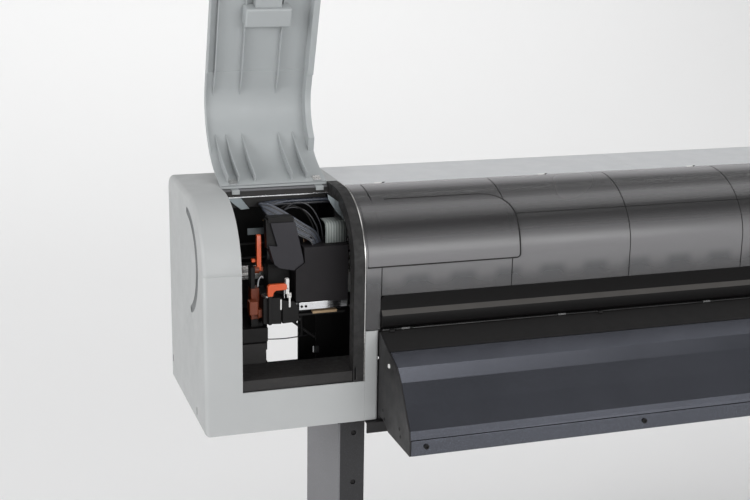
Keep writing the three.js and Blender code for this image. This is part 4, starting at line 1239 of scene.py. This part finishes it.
def roll_holder():
    low, high = local_box("roll_spindle")
    c = (0, (low.y + high.y) / 2, (low.z + high.z) / 2)
    radius = (high.z - low.z) / 2
    profile = [(0.01, low.x), (radius - 4, low.x), (radius - 3, low.x + 1), (radius - 3, low.x + 10),
               (radius, low.x + 11), (radius, high.x - 11), (radius - 3, high.x - 10),
               (radius - 3, high.x - 1), (radius - 4, high.x), (0.01, high.x)]
    lathe("spindle_tube", profile, "x", c, ZINC, "roll_spindle", "roll_spindle", steps=48)
    for side in SIDES:
        low, high = local_box(f"roll_flange_{side}")
        inner, outer = (high.x, low.x) if side == "left" else (low.x, high.x)
        d = 1 if side == "left" else -1
        big = (high.z - low.z) / 2
        disc = [(radius + 0.4, outer), (20, outer), (21, outer + d * 2.5), (big - 8, outer + d * 2.5),
                (big - 4, outer), (big - 1, outer + d), (big, outer + d * 3), (big - 1, outer + d * 6),
                (big - 4, outer + d * 7.5), (37, outer + d * 7.5), (36.5, outer + d * 20),
                (35, inner - d * 3), (32, inner), (28, inner), (28, outer + d * 12),
                (radius + 0.4, outer + d * 12)]
        lathe(f"media_hub_{side}", disc, "x", c, BLACK, "roll_spindle", f"roll_flange_{side}", steps=64)
        for k in range(3):
            a = math.radians(90 + 120 * k)
            y, z = c[1] + 49 * math.cos(a), c[2] + 49 * math.sin(a)
            lathe(f"hub_pad_{side}_{k}", rod_profile(6, *sorted((outer - d * 0.2, outer + d * 4)), 0.5), "x",
                  (0, y, z), ORANGE if k == 0 else CHARCOAL, "roll_spindle", steps=24)
        support(side, c, radius)


def support(side, c, radius):
    def m(x):
        return mirrored(side, x)
    low, high = local_box("roll_support_left")
    line = [(352, -205), (405, -178), (452, -146), (461, -136), (464, -120), (461, -104), (450, -90),
            (432, -80), (405, -70), (352, -60)]
    plate = prism_mesh(f"roll_bracket_{side}", line, "x", *spread(side, low.x, low.x + 6), STAND_DARK)
    bore = lathe_mesh("bore", rod_profile(radius + 0.7, *spread(side, low.x - 4, low.x + 10), 0.1), "x", c,
                      STAND_DARK, 40)
    window = [(366, -100), (396, -92), (400, -150), (366, -172)]
    carve(plate, bore, prism_mesh("window", window, "x", *spread(side, low.x - 4, low.x + 10), STAND_DARK))
    bevel(plate, 0.9, 2, 40)
    done(plate, MACHINE, f"roll_support_{side}", slot="stand_paint")
    block(f"roll_bracket_foot_{side}", *spread(side, low.x, high.x), 351.2, 357, -205, -60, STAND_DARK,
          MACHINE, edge=1)
    ring = [(radius + 0.8, -9), (radius + 6, -9), (radius + 7, -7), (radius + 7, 7), (radius + 6, 9),
            (radius + 0.8, 9)]
    lathe(f"spindle_bearing_{side}", ring, "x", (m(low.x + 3), c[1], c[2]), BLACK, MACHINE)
    for k, z in enumerate((-190, -75)):
        screw(f"roll_bracket_screw_{side}_{k}", "y", (m(high.x - 7), 357, z), 4.5, MACHINE)


# ------------------------------------------------------------------ control panel
def control_panel():
    low, high = local_box("control_panel")
    front_z = 468
    tilt = math.atan2(high.z - front_z, high.y - low.y - 6)
    hinge = Matrix.Translation(at(0, low.y + 6, front_z)) @ Matrix.Rotation(tilt, 4, "X")
    face = hinge @ Matrix.Translation(-at(0, 0, 0))
    x0, x1 = low.x, high.x

    def pad(name, a0, a1, b0, b1, h0, h1, material, edge):
        block(name, a0, a1, b0, b1, h0, h1, material, MACHINE, edge=edge, place=face, segments=3)

    pad("display_pane", x0 + 67, x1 - 67, 41, 103, -2.4, -0.4, GLASS, 0.6)
    pad("panel_trim", x0 + 8, x1 - 8, 8, 11, -0.4, 0.9, SILVER, 0.4)
    for k in range(4):
        pad(f"display_bar_{k}", x0 + 75, x0 + 100 + 13 * k, 50 + 11 * k, 54 + 11 * k, -0.6, -0.2, LIT, 0.1)
    pad("display_box", x1 - 100, x1 - 75, 62, 92, -0.6, -0.2, LIT, 0.1)
    for name in ("power_button", "menu_button"):
        a, b = local_box(name)
        x = (a.x + b.x) / 2
        dome = [(0.01, -4), (9, -4), (9, 1.4), (8, 2.4), (5, 2.2), (0.01, 1.6)]
        lathe(f"{name}_cap", dome, "z", (x, 70, 0), WHITE, name, name, steps=40, place=face)
        ring = [(10.2, -0.2), (12.4, -0.2), (12.2, 0.8), (10.6, 1.1), (10.2, 0.8)]
        lathe(f"{name}_ring", ring, "z", (x, 70, 0), SILVER, MACHINE, steps=40, place=face)
    for k in range(3):
        x = (x0 + x1) / 2 - 22 + 22 * k
        lathe(f"panel_lamp_{k}", [(0.01, -1), (2.4, -1), (2.2, 0.7), (1.2, 1.1), (0.01, 1.2)], "z",
              (x, 24, 0), ORANGE if k == 2 else LIT, MACHINE, steps=20, place=face)


def rear_details():
    back = DEPTH
    for k in range(4):
        x = SPAN + 60 + 58 * k
        for j in range(7):
            block(f"vent_{k}_{j}", x, x + 44, back - 0.2, back + 1.2, 250 + 9 * j, 253.4 + 9 * j, BLACK,
                  MACHINE, edge=0.4)
    block("power_inlet_frame", SPAN + 120, SPAN + 168, back - 1, back + 2.5, 40, 72, BLACK, MACHINE, edge=1.4)
    block("power_inlet_well", SPAN + 128, SPAN + 160, back + 2, back + 2.9, 45, 67, CHARCOAL, MACHINE,
          edge=0.4)
    for k, (dx, dz) in enumerate(((-7, 3), (7, 3), (0, -4))):
        block(f"power_inlet_pin_{k}", SPAN + 143 + dx, SPAN + 145 + dx, back + 2.5, back + 3.4, 53 + dz,
              59 + dz, SILVER, MACHINE, edge=0.2)
    for x in (120, 560, 1000, 1440, 1880):
        for z in (20, 410):
            screw(f"rear_screw_{x}_{z}", "y", (x, back, z), 4, MACHINE)
    for k in range(9):
        x = 210 + 200 * k
        block(f"media_guide_{k}", x, x + 26, back - 2, back + 1.5, 172, 178, BLACK, MACHINE, edge=0.8)


# ------------------------------------------------------------------ nodes kept as they are
KEPT = {
    "stand_cross_beam": (STAND_DARK, 1.2),
    "base_beam": (DARK_SHEET, 0.9),
    "left_side_frame": (ZINC, 0.5),
    "right_side_frame": (ZINC, 0.5),
    "top_beam": (SILVER, 0.8),
    "guide_rail": (SILVER, 0.8),
    "platen": (BLACK, 0.8),
    "rear_panel": (DARK_SHEET, 0.8),
    "apron_panel": (APRON, 0.9),
    "apron_rail": (APRON, 0.8),
    "apron_side_left": (DARK_SHEET, 0.9),
    "apron_side_right": (DARK_SHEET, 0.9),
    "timing_belt": (RUBBER, 0.4),
    "control_panel": (CHARCOAL, 2.5),
}


def dress_kept():
    for name, (material, width) in KEPT.items():
        obj = frame["nodes"][name]
        obj.data.materials.clear()
        obj.data.materials.append(material)
        weld = obj.modifiers.new("weld", "WELD")
        weld.merge_threshold = 0.00005
        bevel(obj, width, 2, 40 if name == "timing_belt" else 25)


# ------------------------------------------------------------------ studio
SKY = ((0.0, 0.95), (0.18, 0.9), (0.42, 0.5), (0.7, 0.24), (1.0, 0.36))
SKY_STRENGTH = 0.95
# name, place, aim, size and watts of each lamp
LAMPS = (
    ("left_box", (-6.6, -2.0, 2.6), (-1.35, 0, 1.0), (3.4, 2.4), 162),
    ("front_box", (0.2, -6.2, 2.5), (-0.3, -0.2, 1.0), (6.0, 1.5), 166),
    ("top_box", (0.5, -0.7, 4.7), (0.3, -0.1, 1.0), (5.0, 2.0), 50),
    ("wall_box", (0.0, 3.2, 6.2), (0.0, 9.5, 0.6), (10.0, 2.0), 285),
)


def studio():
    world = bpy.data.worlds.new("studio")
    SCENE.world = world
    world.use_nodes = True
    tree = world.node_tree
    coords = tree.nodes.new("ShaderNodeTexCoord")
    split = tree.nodes.new("ShaderNodeSeparateXYZ")
    ramp = tree.nodes.new("ShaderNodeValToRGB")
    tree.links.new(coords.outputs["Generated"], split.inputs[0])
    tree.links.new(split.outputs["Z"], ramp.inputs[0])
    tree.links.new(ramp.outputs["Color"], tree.nodes["Background"].inputs["Color"])
    fill_ramp(ramp, [(place, (value, value, value * 1.01)) for place, value in SKY])
    tree.nodes["Background"].inputs["Strength"].default_value = SKY_STRENGTH

    line = [(-9000, 0)] + [(-9000 + 1000 * k, 0) for k in range(1, 14)]
    line += [(4000 + 6000 * math.sin(a),
              6000 - 6000 * math.cos(a)) for a in (math.radians(5 * i) for i in range(1, 17))]
    rows = [[(x, y, z - ORIGIN.z / MM) for y, z in line] for x in (-14000, 16000)]
    sweep = new_mesh("studio_sweep", [p for row in rows for p in row], grid_faces(2, len(line)),
                     sweep_material())
    for name, place, aim, size, power in LAMPS:
        data = bpy.data.lights.new(name, "AREA")
        data.shape = "RECTANGLE"
        data.size, data.size_y = size
        data.energy = power
        lamp = bpy.data.objects.new(name, data)
        SCENE.collection.objects.link(lamp)
        lamp.location = place
        lamp.rotation_euler = (Vector(aim) - Vector(place)).to_track_quat("-Z", "Y").to_euler()


def sweep_material():
    n = Nodes("studio_floor")
    far = n.span(n.part(n.coords, "Y"), 0, 1, -1.5, 7.0, "LINEAR")
    tone = n.sum("ADD", far, n.span(n.noise(1.5, 2), 0.0, 0.02))
    return n.finish({"Base Color": n.blend(tone, (0.84, 0.84, 0.842), (0.86, 0.86, 0.857)),
                     "Roughness": 0.7, "Specular IOR Level": 0.2})


def main():
    make_camera()
    SCENE.view_settings.view_transform = "Standard"
    studio()
    left_housing()
    right_housing()
    cartridges()
    bezel()
    door()
    front_cover()
    cover_band()
    platen_edge()
    top_cover()
    front_strip()
    apron()
    stand()
    for side in SIDES:
        for end in ("front", "rear"):
            caster(end, side)
    carriage()
    cables()
    service_bay()
    inner_plate()
    drive()
    feed()
    roll_holder()
    control_panel()
    rear_details()
    dress_kept()


main()
